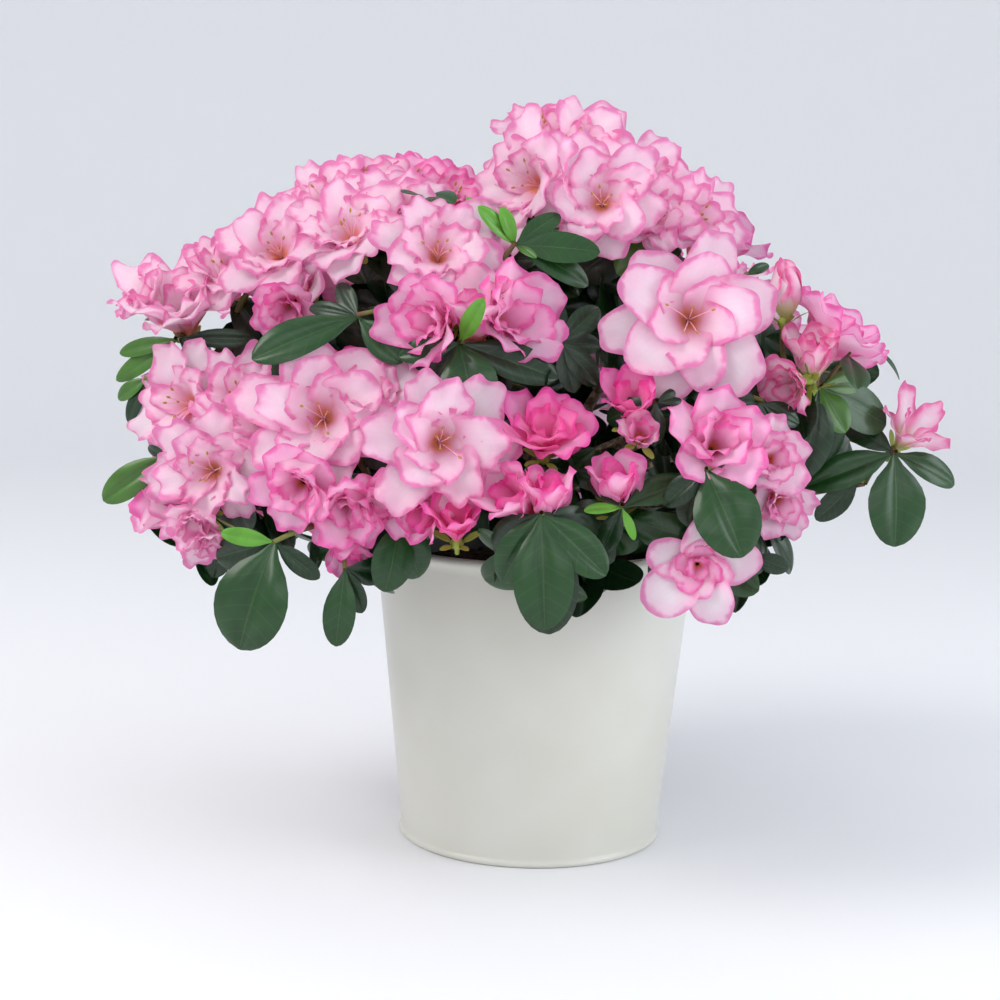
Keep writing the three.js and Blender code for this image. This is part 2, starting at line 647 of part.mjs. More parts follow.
addPiece("pot", potGeometry(), COLOURS.pot, 0.35, 0.2);
addPiece("soil", soilGeometry(), COLOURS.soil, 0.95);
addPiece("main_stem", stemGeometry(), COLOURS.wood, 0.8);
MASSES.forEach((mass, number) => {
  addPiece(mass.name + "_bough", boughGeometry(mass), COLOURS.wood, 0.8);
  addPiece(mass.name + "_mass", massGeometry(mass, number), COLOURS.foliage, 0.6);
});

export default azalea;
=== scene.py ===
import math
from functools import partial

import bmesh
import bpy
import numpy as np
from mathutils import Matrix, Vector, noise


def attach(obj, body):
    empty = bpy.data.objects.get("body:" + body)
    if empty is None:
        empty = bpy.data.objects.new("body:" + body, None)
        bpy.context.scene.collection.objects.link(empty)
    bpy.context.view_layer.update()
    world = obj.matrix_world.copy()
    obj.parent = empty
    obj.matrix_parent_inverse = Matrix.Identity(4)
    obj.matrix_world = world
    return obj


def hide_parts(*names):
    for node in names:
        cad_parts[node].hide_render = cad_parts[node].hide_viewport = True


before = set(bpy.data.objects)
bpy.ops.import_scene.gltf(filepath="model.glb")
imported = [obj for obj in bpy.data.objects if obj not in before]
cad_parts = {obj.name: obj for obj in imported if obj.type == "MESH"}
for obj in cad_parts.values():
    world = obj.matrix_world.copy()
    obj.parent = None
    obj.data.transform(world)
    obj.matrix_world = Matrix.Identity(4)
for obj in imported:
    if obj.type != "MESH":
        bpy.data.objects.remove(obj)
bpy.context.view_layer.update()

# A potted azalea: a thin metal cover pot, peat, a short branching stem and a domed crown of double pink
# blooms among dark leaves. The script follows the plant's growth: pot, peat, wood, shoots, leaves, blooms.
MM = 0.001


# The cover pot is thin sheet steel with a slight taper. Its lip and foot are rolled into round beads that
# stiffen it, and it is sprayed with a satin cream enamel that has a faint orange-peel skin. Its inner
# wall below the lip is painted near-black: painted shade, for the shade that the crown casts inside.
POT_HEIGHT = 130
LIP_RADIUS = 70
FOOT_RADIUS = 56.5
LIP_BEAD = 2.1
FOOT_BEAD = 1.6
SHEET = 0.9
WALL_FOOT_RADIUS = FOOT_RADIUS - 1.2
WALL_TOP_RADIUS = LIP_RADIUS - 1.8
WALL_HEIGHT = POT_HEIGHT - 4.5
BASE_RING = 4
OUTER_ROWS = (3.6, 4.4, 8, 60, 118, 122.5, 124.6)
INNER_ROWS = (126, 122, 60, 2, SHEET)
# The heights between which the pot's inner wall takes its near-black painted shade.
INNER_SHADE_FOOT = 2
INNER_SHADE_TOP = POT_HEIGHT - 4
POT_STEPS = 180
ENAMEL = "#d1d1c8"
ENAMEL_WARM = "#cbcabf"
# The near-black colour of the painted shade on the pot's inner wall.
INNER_SHADE = "#141312"
CLOUD_SIZE = 60
PEEL_SIZE = 1.6


def linear(hex_colour):
    """An sRGB hex colour as linear RGBA."""
    shares = [int(hex_colour[i : i + 2], 16) / 255 for i in (1, 3, 5)]
    return [s / 12.92 if s <= 0.04045 else ((s + 0.055) / 1.055) ** 2.4 for s in shares] + [1]


def add_node(material, kind, inputs=None, **settings):
    """A new node with these settings. inputs maps a socket's name or number to a value or an output."""
    made = material.node_tree.nodes.new("ShaderNode" + kind)
    for name, value in settings.items():
        setattr(made, name, value)
    for name, value in (inputs or {}).items():
        if isinstance(value, bpy.types.NodeSocket):
            material.node_tree.links.new(value, made.inputs[name])
        else:
            made.inputs[name].default_value = value
    return made


def new_material(name, **surface):
    """A material of that name, and its shader with these settings."""
    material = bpy.data.materials.new(name)
    material.use_nodes = True
    shader = material.node_tree.nodes["Principled BSDF"]
    for socket, value in surface.items():
        shader.inputs[socket.replace("_", " ")].default_value = value
    return material, shader


def blended(material, share, first, second):
    """The output of a mix of two colours."""
    made = add_node(material, "Mix", {0: share, 6: first, 7: second}, data_type="RGBA")
    return made.outputs[2]


def ramped(material, value, low, high, out_low=0.0, out_high=1.0):
    """The output of a smooth step of a value from low to high."""
    made = add_node(
        material,
        "MapRange",
        {"Value": value, "From Min": low, "From Max": high, "To Min": out_low, "To Max": out_high},
        interpolation_type="SMOOTHSTEP",
    )
    return made.outputs["Result"]


def noisy(material, size_mm, detail=2.0):
    """The output of a noise whose lumps are about size_mm across on the object."""
    place = add_node(material, "TexCoord").outputs["Object"]
    made = add_node(material, "TexNoise", {"Vector": place, "Scale": 1 / (size_mm * MM), "Detail": detail})
    return made.outputs["Fac"]


def roughened(material, shader, height, depth_mm, strength=1.0):
    """Gives the shader a bump of that depth."""
    made = add_node(material, "Bump", {"Height": height, "Distance": depth_mm * MM, "Strength": strength})
    material.node_tree.links.new(made.outputs["Normal"], shader.inputs["Normal"])


def paint(material, shader, colour):
    """Gives the shader a colour from a node's output."""
    material.node_tree.links.new(colour, shader.inputs["Base Color"])


def wall_radius(height):
    """The pot's outer radius at a height, in mm."""
    return WALL_FOOT_RADIUS + (WALL_TOP_RADIUS - WALL_FOOT_RADIUS) * height / WALL_HEIGHT


def arc(centre, radius, start, end, steps):
    """Points of an arc in degrees, as radius and height."""
    angles = [math.radians(start + (end - start) * i / steps) for i in range(steps + 1)]
    return [(centre[0] + radius * math.cos(a), centre[1] + radius * math.sin(a)) for a in angles]


def turned(name, profile, steps):
    """A mesh turned about the upright axis from a profile of radius and height in mm."""
    shape = bmesh.new()
    points = [shape.verts.new((r * MM, 0, z * MM)) for r, z in profile]
    edges = [shape.edges.new(pair) for pair in zip(points, points[1:])]
    bmesh.ops.spin(
        shape, geom=points + edges, cent=(0, 0, 0), axis=(0, 0, 1), angle=math.tau, steps=steps,
        use_merge=True,
    )
    bmesh.ops.remove_doubles(shape, verts=shape.verts, dist=0.01 * MM)
    bmesh.ops.recalc_face_normals(shape, faces=shape.faces)
    mesh = bpy.data.meshes.new(name)
    shape.to_mesh(mesh)
    shape.free()
    return mesh


def placed(name, data):
    """An object of that name in the scene, with this mesh, lamp or lens."""
    made = bpy.data.objects.new(name, data)
    bpy.context.scene.collection.objects.link(made)
    return made


def coated(name, mesh, *materials):
    """A smooth object of that mesh with these materials."""
    for material in materials:
        mesh.materials.append(material)
    mesh.polygons.foreach_set("use_smooth", [True] * len(mesh.polygons))
    return placed(name, mesh)


def add_piece(name, mesh, slot, nodes, *materials):
    """Adds a finished piece that rides on the root body and stands for these nodes."""
    piece = coated(name, mesh, *materials)
    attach(piece, "root")
    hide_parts(*nodes)


lip = (LIP_RADIUS - LIP_BEAD, POT_HEIGHT - LIP_BEAD)
foot = (FOOT_RADIUS - FOOT_BEAD, FOOT_BEAD)
pot_profile = [(0, 0), (foot[0] - BASE_RING, 0)]
pot_profile += arc(foot, FOOT_BEAD, -90, 62, 8)
pot_profile += [(wall_radius(h), h) for h in OUTER_ROWS]
pot_profile += arc(lip, LIP_BEAD, -52, 200, 12)
pot_profile += [(wall_radius(h) - SHEET, h) for h in INNER_ROWS]
pot_profile += [(0, SHEET)]
pot_mesh = turned("cover_pot", pot_profile, POT_STEPS)

enamel, enamel_skin = new_material(
    "sprayed cream enamel on steel", Roughness=0.34, IOR=1.5, Coat_Weight=0.25, Coat_Roughness=0.2
)
clouding = ramped(enamel, noisy(enamel, CLOUD_SIZE), 0.3, 0.7)
paint(enamel, enamel_skin, blended(enamel, clouding, linear(ENAMEL), linear(ENAMEL_WARM)))
roughened(enamel, enamel_skin, noisy(enamel, PEEL_SIZE), 0.05, 0.35)
# The pot's inner wall takes a near-black painted shade, where the crown shades the inside.
inner_shade_paint, _ = new_material("painted shade on the pot's inner wall", Base_Color=linear(INNER_SHADE), Roughness=0.5)
for face in pot_mesh.polygons:
    height = face.center.z / MM
    inside = face.center.xy.length / MM < wall_radius(height) - SHEET / 2
    face.material_index = int(inside and INNER_SHADE_FOOT < height < INNER_SHADE_TOP)
add_piece("cover_pot", pot_mesh, "enamelled_metal", ["pot"], enamel, inner_shade_paint)


# The peat that the roots hold is dark and moist, with crumbs and fibres on its top. It stands a little
# below the lip and highest at the stem.
PEAT_TOP = POT_HEIGHT - 13
PEAT_FALL = 4
PEAT_FLAT = 24
PEAT_GAP = 0.4
PEAT_STEPS = 96
PEAT_ROWS = 34
# How many lumps of the peat's relief there are to a metre, and how high they are.
PEAT_LUMPS = ((160, 1.1), (520, 0.7))
# Round the stem, within this radius, the peat has hollows and no bumps.
ROUND_STEM = 16
PEAT_DARK = "#1d1611"
PEAT_BROWN = "#3b2c20"
CRUMBS = 420
CRUMB_SIZE = (1.0, 3.4)

dice = np.random.default_rng(7)


def peat_height(radius):
    """Height of the peat's top at a radius, in mm."""
    fallen = max(0.0, radius - PEAT_FLAT) / (wall_radius(PEAT_TOP) - PEAT_FLAT)
    return PEAT_TOP - PEAT_FALL * fallen


peat_rim = PEAT_TOP - PEAT_FALL
peat_foot = SHEET + PEAT_GAP
peat_edge = wall_radius(peat_rim) - SHEET - PEAT_GAP
peat_profile = [(0, peat_foot), (wall_radius(2) - SHEET - 1, peat_foot), (peat_edge, peat_rim - 2)]
peat_profile += [(r, peat_height(r)) for r in np.linspace(peat_edge - 0.5, 0, PEAT_ROWS)]
peat_mesh = turned("peat", peat_profile, PEAT_STEPS)
for point in peat_mesh.vertices:
    if point.co.z > (peat_rim - 1) * MM:
        relief = sum(noise.noise(point.co * lumps) * height for lumps, height in PEAT_LUMPS)
        point.co.z += (min(relief, 0.0) if point.co.xy.length < ROUND_STEM * MM else relief) * MM

crumb = bmesh.new()
bmesh.ops.create_icosphere(crumb, subdivisions=1, radius=1)
crumb_points = np.array([p.co for p in crumb.verts])
crumb_faces = np.array([[p.index for p in f.verts] for f in crumb.faces])
crumb.free()


def joined(name, shapes, faces, marks=None, maps=None, slots=None):
    """One mesh of many like shapes, each given by its points in mm. marks are numbers at its points, maps
    are UV maps at its points, and slots are the shapes' materials."""
    count, size = shapes.shape[:2]
    every = (faces[None] + (np.arange(count) * size)[:, None, None]).reshape(-1, faces.shape[1])
    mesh = bpy.data.meshes.new(name)
    mesh.from_pydata((shapes * MM).reshape(-1, 3), [], every)
    for mark, values in (marks or {}).items():
        made = mesh.attributes.new(mark, "FLOAT", "POINT")
        made.data.foreach_set("value", values.astype(np.float32).ravel())
    for title, places in (maps or {}).items():
        layer = mesh.uv_layers.new(name=title)
        layer.data.foreach_set("uv", places.reshape(-1, 2)[every.ravel()].astype(np.float32).ravel())
    if slots is not None:
        mesh.polygons.foreach_set("material_index", np.repeat(slots, len(faces)).astype(np.int32))
    return mesh


crumb_radius = np.sqrt(dice.uniform(0.05, 1, CRUMBS)) * (peat_edge - 3)
crumb_turn = dice.uniform(0, math.tau, CRUMBS)
crumb_size = dice.uniform(*CRUMB_SIZE, CRUMBS) * dice.uniform(0.4, 1, CRUMBS)
crumb_centre = np.stack(
    [
        crumb_radius * np.cos(crumb_turn),
        crumb_radius * np.sin(crumb_turn),
        [peat_height(r) for r in crumb_radius],
    ],
    1,
)
crumb_shapes = crumb_points[None] * dice.uniform(0.55, 1, (CRUMBS, len(crumb_points), 1))
crumb_shapes = crumb_shapes * (crumb_size[:, None] * [1, 1, 0.7])[:, None] + crumb_centre[:, None]

peat, peat_skin = new_material("moist sphagnum peat", Roughness=0.92, Specular_IOR_Level=0.25)
moisture = ramped(peat, noisy(peat, 3, 5), 0.42, 0.66)
paint(peat, peat_skin, blended(peat, moisture, linear(PEAT_DARK), linear(PEAT_BROWN)))
roughened(peat, peat_skin, noisy(peat, 1.2, 6), 0.5)
add_piece("peat", peat_mesh, "peat", ["soil"], peat)
add_piece("peat_crumbs", joined("peat_crumbs", crumb_shapes, crumb_faces), "peat", ["soil"], peat)


# The crown is planned before the wood grows into it. A mass is a group of shoots round one heart, and a
# shoot bears a flower or a whorl of leaves. These are the masses and the rule of the part's source, carried
# on to finer twigs and leaves.
INNER_TWIGS = 7


def flower(bears, turn, lift, out, width, face_turn, face_lift, tone=0, frill=1.0, green=0):
    """A shoot with a flower. turn is round Z from the front, positive to the right, and lift is above
    level, in degrees. They and the distance out lead from the mass's heart to the flower's face, and it
    faces the way of face_turn and face_lift. tone counts from blush to hot pink, with 3 for the youngest
    petals, frill is how ruffled the petals are, and green is how many leaves stand below it."""
    place = (turn, lift, out, face_turn, face_lift)
    return {"bears": bears, "place": place, "width": width, "tone": tone, "frill": frill, "green": green}


# An open bloom has broad flat petals round a small heart, a star has few and narrow ones, and a cup is half
# open. A tulip is a young flower whose petals are still upright.
bloom = partial(flower, "bloom", green=6)
open_bloom = partial(flower, "open")
star = partial(flower, "star")
cup = partial(flower, "cup")
tulip = partial(flower, "tulip", tone=1)
bud = partial(flower, "bud", tone=3)


def whorl(turn, lift, out, face_turn, face_lift, blades):
    """A leafy tip. Each blade has its turn, lift, length in mm, width as a share of that, and age."""
    place = (turn, lift, out, face_turn, face_lift)
    return {"bears": "leaves", "place": place, "width": 0, "blades": blades}


def mass_of(name, heart, reach, fork, fill=0, flowering=0, inner=INNER_TWIGS, shoots=()):
    """A mass. reach is how far its shoots go, fork the height where its bough leaves the stem, fill how
    many more shoots the rule tries, flowering the share of these that flower, and inner how many fine
    twigs stand round the heart."""
    return {
        "name": name, "heart": heart, "reach": reach, "fork": fork, "fill": fill, "flowering": flowering,
        "inner": inner, "shoots": shoots,
    }


MASSES = [
    mass_of("top_right", (46, -12, 224), 60, 166, 4, 0.6, shoots=[
        bloom(-60, 41, 87, 47, -42, 12),
        bloom(-64, 64, 81, 42, 5, 40),
        bloom(-83, 58, 92, 34, -10, 45),
        bloom(-27, 43, 74, 44, -5, 15),
        bloom(-20, 76, 63, 36, 15, 35),
        bloom(34, 57, 54, 37, 28, 30),
        bloom(-3, 54, 56, 34, 10, 25),
        tulip(56, 40, 43, 17, 75, 35, tone=2),
    ]),
    mass_of("top_left", (-54, -18, 222), 58, 166, 3, 0.6, shoots=[
        bloom(-29, 39, 65, 44, -20, 42, frill=1.2),
        bloom(-10, 57, 60, 34, -5, 45),
        bloom(-90, 54, 64, 38, -30, 45),
        bloom(-108, 71, 60, 36, 0, 50),
        bloom(-175, 77, 61, 34, 10, 55, tone=1),
        bloom(116, 71, 57, 30, 10, 45, tone=1),
        whorl(11, 59, 59, 0, 60, [(-28, 14, 16, 0.5, 1), (37, 13, 18, 0.7, 1)]),
    ]),
    mass_of("left_high", (-108, -24, 192), 56, 152, 3, 0.5, shoots=[
        cup(-72, 45, 63, 50, -20, 56, frill=1.2),
        bloom(-74, 67, 57, 36, 0, 45),
        cup(-86, 35, 71, 28, -60, 35),
        bloom(2, 67, 67, 42, -8, 30),
        cup(8, 40, 53, 28, -10, -20, tone=1, green=6),
        bloom(-45, -1, 54, 45, -40, 12),
        bloom(-10, 4, 57, 36, -10, 30),
        whorl(-58, 27, 50, -20, 10, [
            (-96, -12, 28, 0.26, 2), (-102, -31, 34, 0.26, 2), (75, 4, 32, 0.26, 0), (39, -17, 16, 0.4, 0),
        ]),
        whorl(-67, 7, 55, -40, 0, [(-101, -30, 18, 0.4, 2), (-90, -59, 21, 0.4, 0)]),
    ]),
    mass_of("left_low", (-124, -45, 148), 50, 135, shoots=[
        bloom(-5, 21, 55, 42, -12, 5, frill=1.5),
        tulip(-43, 4, 48, 22, -60, 0, tone=0),
        cup(-11, -4, 54, 24, -15, -30, frill=1.5),
        cup(-3, -13, 50, 22, 10, -60),
        whorl(-39, 33, 42, -20, 0, [(-86, -34, 33, 0.42, 2), (-117, 8, 13, 0.35, 0), (9, -69, 33, 0.6, 0)]),
    ]),
    mass_of("front_left", (-64, -84, 156), 58, 142, shoots=[
        bloom(-41, 51, 47, 54, 0, 16, frill=0.8),
        bloom(-77, 35, 53, 34, -15, 10),
        cup(-1, 73, 49, 30, 10, 45),
        bloom(37, 32, 53, 49, 8, 8),
        cup(-42, 10, 44, 30, -12, -8, tone=1),
        cup(-15, -3, 33, 32, 5, -20, tone=1),
        cup(9, 7, 31, 24, 5, -10, tone=1),
        tulip(-19, -43, 32, 16, 25, -62),
        tulip(39, 6, 52, 20, 0, 48, tone=2),
        tulip(25, -3, 38, 17, -40, -15),
        whorl(-52, -15, 47, -10, 10, [
            (-44, -60, 44, 0.7, 1), (-79, 10, 21, 0.34, 3), (-115, -17, 30, 0.5, 0), (70, -37, 22, 0.4, 0),
        ]),
        whorl(-22, -41, 34, 0, 0, [
            (-17, -70, 31, 0.42, 1), (90, -70, 19, 0.45, 0), (116, -12, 19, 0.6, 0),
        ]),
    ]),
    mass_of("front_high", (-24, -70, 204), 56, 150, shoots=[
        bloom(-54, 68, 55, 44, 5, 28, frill=1.1),
        cup(-39, 31, 45, 36, -40, 6, tone=1),
        cup(32, 42, 41, 40, 38, 20, tone=1),
        tulip(-6, 51, 45, 25, -5, 60, tone=0),
        whorl(-71, 25, 55, -20, 25, [
            (-69, -17, 44, 0.42, 1), (-105, 14, 24, 0.3, 0), (59, -38, 25, 0.5, 1), (-140, 41, 21, 0.4, 0),
        ]),
        whorl(-16, 27, 33, 0, 20, [
            (20, 38, 26, 0.3, 3), (21, -51, 31, 0.74, 1), (-85, -10, 24, 0.42, 1), (90, -17, 40, 0.4, 0),
            (-107, -55, 24, 0.6, 0), (104, -40, 31, 0.6, 0),
        ]),
        whorl(65, 24, 37, 10, 20, [
            (111, 42, 22, 0.5, 0), (103, 0, 18, 0.5, 0), (57, -69, 20, 0.5, 0), (-148, 63, 21, 0.5, 0),
            (83, -45, 22, 0.5, 0),
        ]),
        whorl(72, 76, 53, 5, 30, [
            (119, 35, 25, 0.36, 1), (79, 1, 33, 0.42, 1), (75, -17, 33, 0.36, 1), (-102, 47, 28, 0.2, 3),
            (-52, 43, 22, 0.34, 3), (-19, 53, 17, 0.36, 3), (37, -12, 13, 0.3, 2),
        ]),
    ]),
    mass_of("front_low", (8, -92, 150), 55, 134, inner=10, shoots=[
        cup(-19, 66, 46, 35, 5, 50, tone=2, green=3),
        tulip(-36, 26, 45, 23, -40, 35),
        tulip(-10, 35, 41, 20, 5, 76),
        tulip(34, 38, 43, 20, -10, 62),
        whorl(-13, 14, 38, 0, 20, [
            (9, -71, 43, 0.56, 1), (-75, -59, 31, 0.55, 1), (76, -40, 33, 0.5, 1), (63, -84, 46, 0.56, 0),
            (-115, -36, 29, 0.5, 0), (107, -16, 29, 0.5, 0),
        ]),
        whorl(38, 17, 37, 0, 40, [
            (-66, 4, 15, 0.34, 3), (113, 24, 34, 0.4, 1), (41, -52, 13, 0.3, 3), (141, 27, 23, 0.5, 0),
            (-76, -64, 19, 0.5, 0), (-124, 41, 19, 0.5, 0),
        ]),
    ]),
    mass_of("right_high", (60, -70, 200), 58, 148, inner=12, shoots=[
        bloom(-10, 50, 40, 58, 0, 8, frill=0.45, green=3),
        tulip(-39, 7, 44, 20, -12, 46, tone=2),
        tulip(-29, -12, 49, 14, 0, 25, tone=0),
        cup(7, -13, 50, 37, 8, 25, tone=1, green=2),
        whorl(126, 62, 51, 20, 30, [
            (111, 26, 13, 0.36, 1), (105, -42, 11, 0.45, 0), (1, -73, 14, 0.45, 0),
        ]),
        whorl(-32, -3, 33, 10, 25, [
            (-96, -17, 22, 0.5, 0), (4, -77, 17, 0.5, 0), (-125, 37, 9, 0.5, 0), (114, 13, 15, 0.5, 0),
        ]),
        whorl(60, -5, 28, 20, 20, [
            (-80, 16, 25, 0.5, 0), (30, -79, 23, 0.5, 0), (104, -25, 19, 0.5, 0), (-45, -52, 19, 0.5, 0),
        ]),
    ]),
    mass_of("right", (112, -50, 200), 52, 158, inner=3, shoots=[
        bud(-59, 69, 54, 17, 0, 84),
        cup(67, 71, 31, 44, 72, 52, tone=1),
        tulip(-17, 45, 33, 20, -8, 72, tone=3),
        cup(-33, 5, 36, 24, -50, -10, tone=3),
        whorl(-12, 12, 8, 10, 20, [
            (110, -24, 38, 0.5, 1), (63, -52, 21, 0.6, 2), (-21, -66, 38, 0.5, 0), (78, -74, 33, 0.5, 0),
            (-69, -3, 33, 0.45, 0), (114, 8, 25, 0.4, 2),
        ]),
        whorl(113, 32, 30, 60, 20, [(98, -33, 18, 0.2, 1)]),
    ]),
    mass_of("right_tip", (132, -46, 162), 44, 138, inner=0, shoots=[
        star(93, 51, 31, 26, 28, 45, tone=3),
        whorl(80, 48, 17, 10, 25, [
            (9, -71, 38, 0.66, 1), (-77, -17, 38, 0.4, 1), (86, -18, 31, 0.4, 1), (-102, 35, 24, 0.5, 0),
        ]),
        whorl(-34, 22, 5, 0, 0, [(-83, -45, 24, 0.45, 0), (-109, -14, 19, 0.4, 0)]),
    ]),
    mass_of("right_low", (70, -86, 148), 54, 140, shoots=[
        cup(37, 47, 44, 27, 12, 15),
        cup(51, 23, 31, 24, 15, -8),
        open_bloom(-17, -13, 41, 38, -3, -5, frill=0.6),
        whorl(-16, 38, 45, 0, 20, [
            (31, -45, 36, 0.74, 1), (-97, -42, 21, 0.5, 0), (121, -6, 31, 0.5, 0), (-153, -71, 27, 0.6, 0),
        ]),
        whorl(31, -18, 22, 20, -10, [(74, -20, 15, 0.55, 0), (122, 39, 10, 0.5, 0)]),
    ]),
    mass_of("back_top", (4, 44, 228), 58, 164, 9, 0.62),
    mass_of("back_left_high", (-82, 46, 200), 54, 160, 8, 0.6),
    mass_of("back_right_high", (78, 48, 186), 54, 156, 8, 0.6),
    mass_of("back", (2, 98, 186), 54, 150, 9, 0.6),
    mass_of("left_back", (-110, 36, 154), 44, 144, 8, 0.6),
    mass_of("right_back", (100, 68, 170), 52, 145, 7, 0),
    mass_of("back_left_low", (-62, 88, 148), 48, 136, 8, 0.6),
    mass_of("back_right_low", (65, 88, 150), 48, 135, 7, 0.6),
]
CROWN_HEART = Vector((0, 0, 140))
# How deep a flower is from its green foot to its face, as a share of its width, and how much of that lies
# behind the middle of its face.
DEPTH = {"bloom": 0.46, "open": 0.4, "star": 0.75, "cup": 0.7, "tulip": 1.3, "bud": 1.6, "leaves": 0.0}
SEAT = 0.85
# The rule's shoots turn by the golden angle, spread over a share of the sphere, keep this far from other
# shoots, never point steeper down, and bear open blooms or cups at least this wide.
GOLDEN_ANGLE = 137.5
SPREAD = 1.22
ROOM = math.radians(36)
LOWEST = -0.62
RULE_WIDTHS = {"bloom": 46, "cup": 34}
OPEN_SHARE = 0.75
MASS_GAP = 0.3


def chance(a, b, c):
    """A number from 0 to 1 that the same three seeds always give."""
    s = math.sin(a * 127.1 + b * 311.7 + c * 74.7) * 43758.5453
    return s - math.floor(s)


def direction(turn, lift):
    """The way at a turn round Z from the front and a lift above level, in degrees."""
    turn, lift = math.radians(turn), math.radians(lift)
    return Vector((math.cos(lift) * math.sin(turn), -math.cos(lift) * math.cos(turn), math.sin(lift)))


def across(way):
    """Two directions square to way and to each other."""
    helper = Vector((0, 0, 1)) if abs(way.z) < 0.9 else Vector((1, 0, 0))
    first = helper.cross(way).normalized()
    return first, way.cross(first)


def shoots_of(mass, number):
    """The shoots that a mass names, then those of a golden-angle spiral where there is room."""
    heart = Vector(mass["heart"])
    facing = (heart - CROWN_HEART).normalized()
    first, second = across(facing)
    found = []
    for shoot in mass["shoots"]:
        turn, lift, out, face_turn, face_lift = shoot["place"]
        way = direction(face_turn, face_lift)
        centre = heart + direction(turn, lift) * out
        tip = centre - way * (DEPTH[shoot["bears"]] * shoot["width"] * SEAT)
        found.append({**shoot, "from_heart": direction(turn, lift), "way": way, "tip": tip})
    for k in range(mass["fill"]):
        polar = math.acos(1 - ((k + 0.5) / mass["fill"]) * SPREAD)
        turn = math.radians(k * GOLDEN_ANGLE + number * 40)
        way = facing * math.cos(polar)
        way += first * (math.sin(polar) * math.cos(turn)) + second * (math.sin(polar) * math.sin(turn))
        room = all(other["from_heart"].angle(way) > ROOM for other in found)
        if not room or way.z < LOWEST:
            continue
        flowers = chance(number, k, 1) < mass["flowering"]
        kind = "bloom" if chance(number, k, 2) < OPEN_SHARE else "cup"
        bears = kind if flowers else "leaves"
        out = mass["reach"] * (0.9 + 0.2 * chance(number, k, 3))
        width = RULE_WIDTHS[kind] + 10 * chance(number, k, 4) if flowers else 0
        tip = heart + way * max(out - DEPTH[bears] * width * SEAT, 10)
        tone = 0 if kind == "bloom" else 1 + int(chance(number, k, 12) * 2)
        grown = {"bears": bears, "width": width, "tone": tone, "frill": 1.1, "green": 6}
        found.append({**grown, "from_heart": way, "way": way, "tip": tip})
    return found


def neighbour_walls(mass):
    """The planes between a mass and its neighbours, each by its normal and its distance from the origin."""
    heart = Vector(mass["heart"])
    walls = []
    for other in MASSES:
        if other is mass:
            continue
        away = Vector(other["heart"]) - heart
        far = away.length
        share = 0.5 + (mass["reach"] ** 2 - other["reach"] ** 2) / (2 * far * far)
        away.normalize()
        walls.append((away, heart.dot(away) + far * share - MASS_GAP))
    return walls


# The wood is grey-brown and thin-barked. A short stem with a root flare stands in the peat and leans a
# little, and one bough runs from it to each mass. Its bark is finely ridged and flakes lengthwise.
STEM_HEIGHT = 56
FLARE_RADIUS = 15
FLARE_SHARE = 0.33
STEM_RADIUS = 8.2
STEM_TIP = 5.6
BOUGH_RADIUS = 2.7
BOUGH_TIP = 1.9
COLLAR = 1.4
STEM_SIDES = 40
STEM_ROWS = 60
BOUGH_SIDES = 14
BOUGH_ROWS = 32
RIDGE_DEPTH = 0.5
WELD = 0.005
BARK_DARK = "#3f3025"
BARK_PALE = "#7c6a55"
STEM_FOOT = PEAT_TOP + 0.3


def pattern(columns, rows):
    """A flat grid: where its points are across, from -1 to 1, and along, from 0 to 1, and its faces."""
    grid = bmesh.new()
    bmesh.ops.create_grid(grid, x_segments=columns, y_segments=rows, size=1)
    places = np.array([p.co for p in grid.verts])
    faces = np.array([[p.index for p in f.verts] for f in grid.faces])
    grid.free()
    return places[:, 0], places[:, 1] / 2 + 0.5, faces


def curve_points(ends, shares):
    """Points and directions of curves with three or four control points. ends is (curves, points, 3)."""
    ends = np.asarray(ends, float)
    degree = ends.shape[1] - 1
    s = np.asarray(shares, float)[None, :, None]
    weights = [math.comb(degree, i) * s**i * (1 - s) ** (degree - i) for i in range(degree + 1)]
    place = sum(w * ends[:, None, i] for i, w in enumerate(weights))
    steps = np.diff(ends, axis=1)
    weights = [math.comb(degree - 1, i) * s**i * (1 - s) ** (degree - 1 - i) for i in range(degree)]
    slope = sum(w * steps[:, None, i] for i, w in enumerate(weights))
    return place, slope / np.linalg.norm(slope, axis=2, keepdims=True)


def tubes(ends, radii, sides, rows, relief=0.0):
    """The points of round tapering rods along curves, and their faces. radii is (rods, rows + 1)."""
    v, u, faces = pattern(sides, rows)
    row = np.rint(u * rows).astype(int)
    place, slope = curve_points(ends, np.linspace(0, 1, rows + 1))
    helper = np.where(np.abs(slope[:, :1, 2:]) < 0.9, [[[0, 0, 1.0]]], [[[1.0, 0, 0]]])
    first = np.cross(np.broadcast_to(helper, slope.shape), slope)
    first /= np.linalg.norm(first, axis=2, keepdims=True)
    second = np.cross(slope, first)
    turn = v * math.pi
    thick = np.asarray(radii, float)[:, row]
    if relief:
        broad = np.sin(turn * 9 + 3 * np.sin(u * 21)) * 0.5
        narrow = np.sin(turn * 17 - 2 * np.sin(u * 33)) * 0.35
        knots = np.sin(u * 60 + np.sin(turn * 3) * 2) * 0.25
        thick = thick + relief * (broad + narrow + knots) * thick / thick.max()
    level = first[:, row] * np.cos(turn)[None, :, None] + second[:, row] * np.sin(turn)[None, :, None]
    return place[:, row] + level * thick[:, :, None], faces


def closed(mesh):
    """Welds a mesh's seams and turns its faces outwards."""
    shape = bmesh.new()
    shape.from_mesh(mesh)
    bmesh.ops.remove_doubles(shape, verts=shape.verts, dist=WELD * MM)
    bmesh.ops.recalc_face_normals(shape, faces=shape.faces)
    shape.to_mesh(mesh)
    shape.free()
    return mesh


def merged(name, *meshes):
    """One mesh of several."""
    shape = bmesh.new()
    for mesh in meshes:
        shape.from_mesh(mesh)
        bpy.data.meshes.remove(mesh)
    mesh = bpy.data.meshes.new(name)
    shape.to_mesh(mesh)
    shape.free()
    return mesh


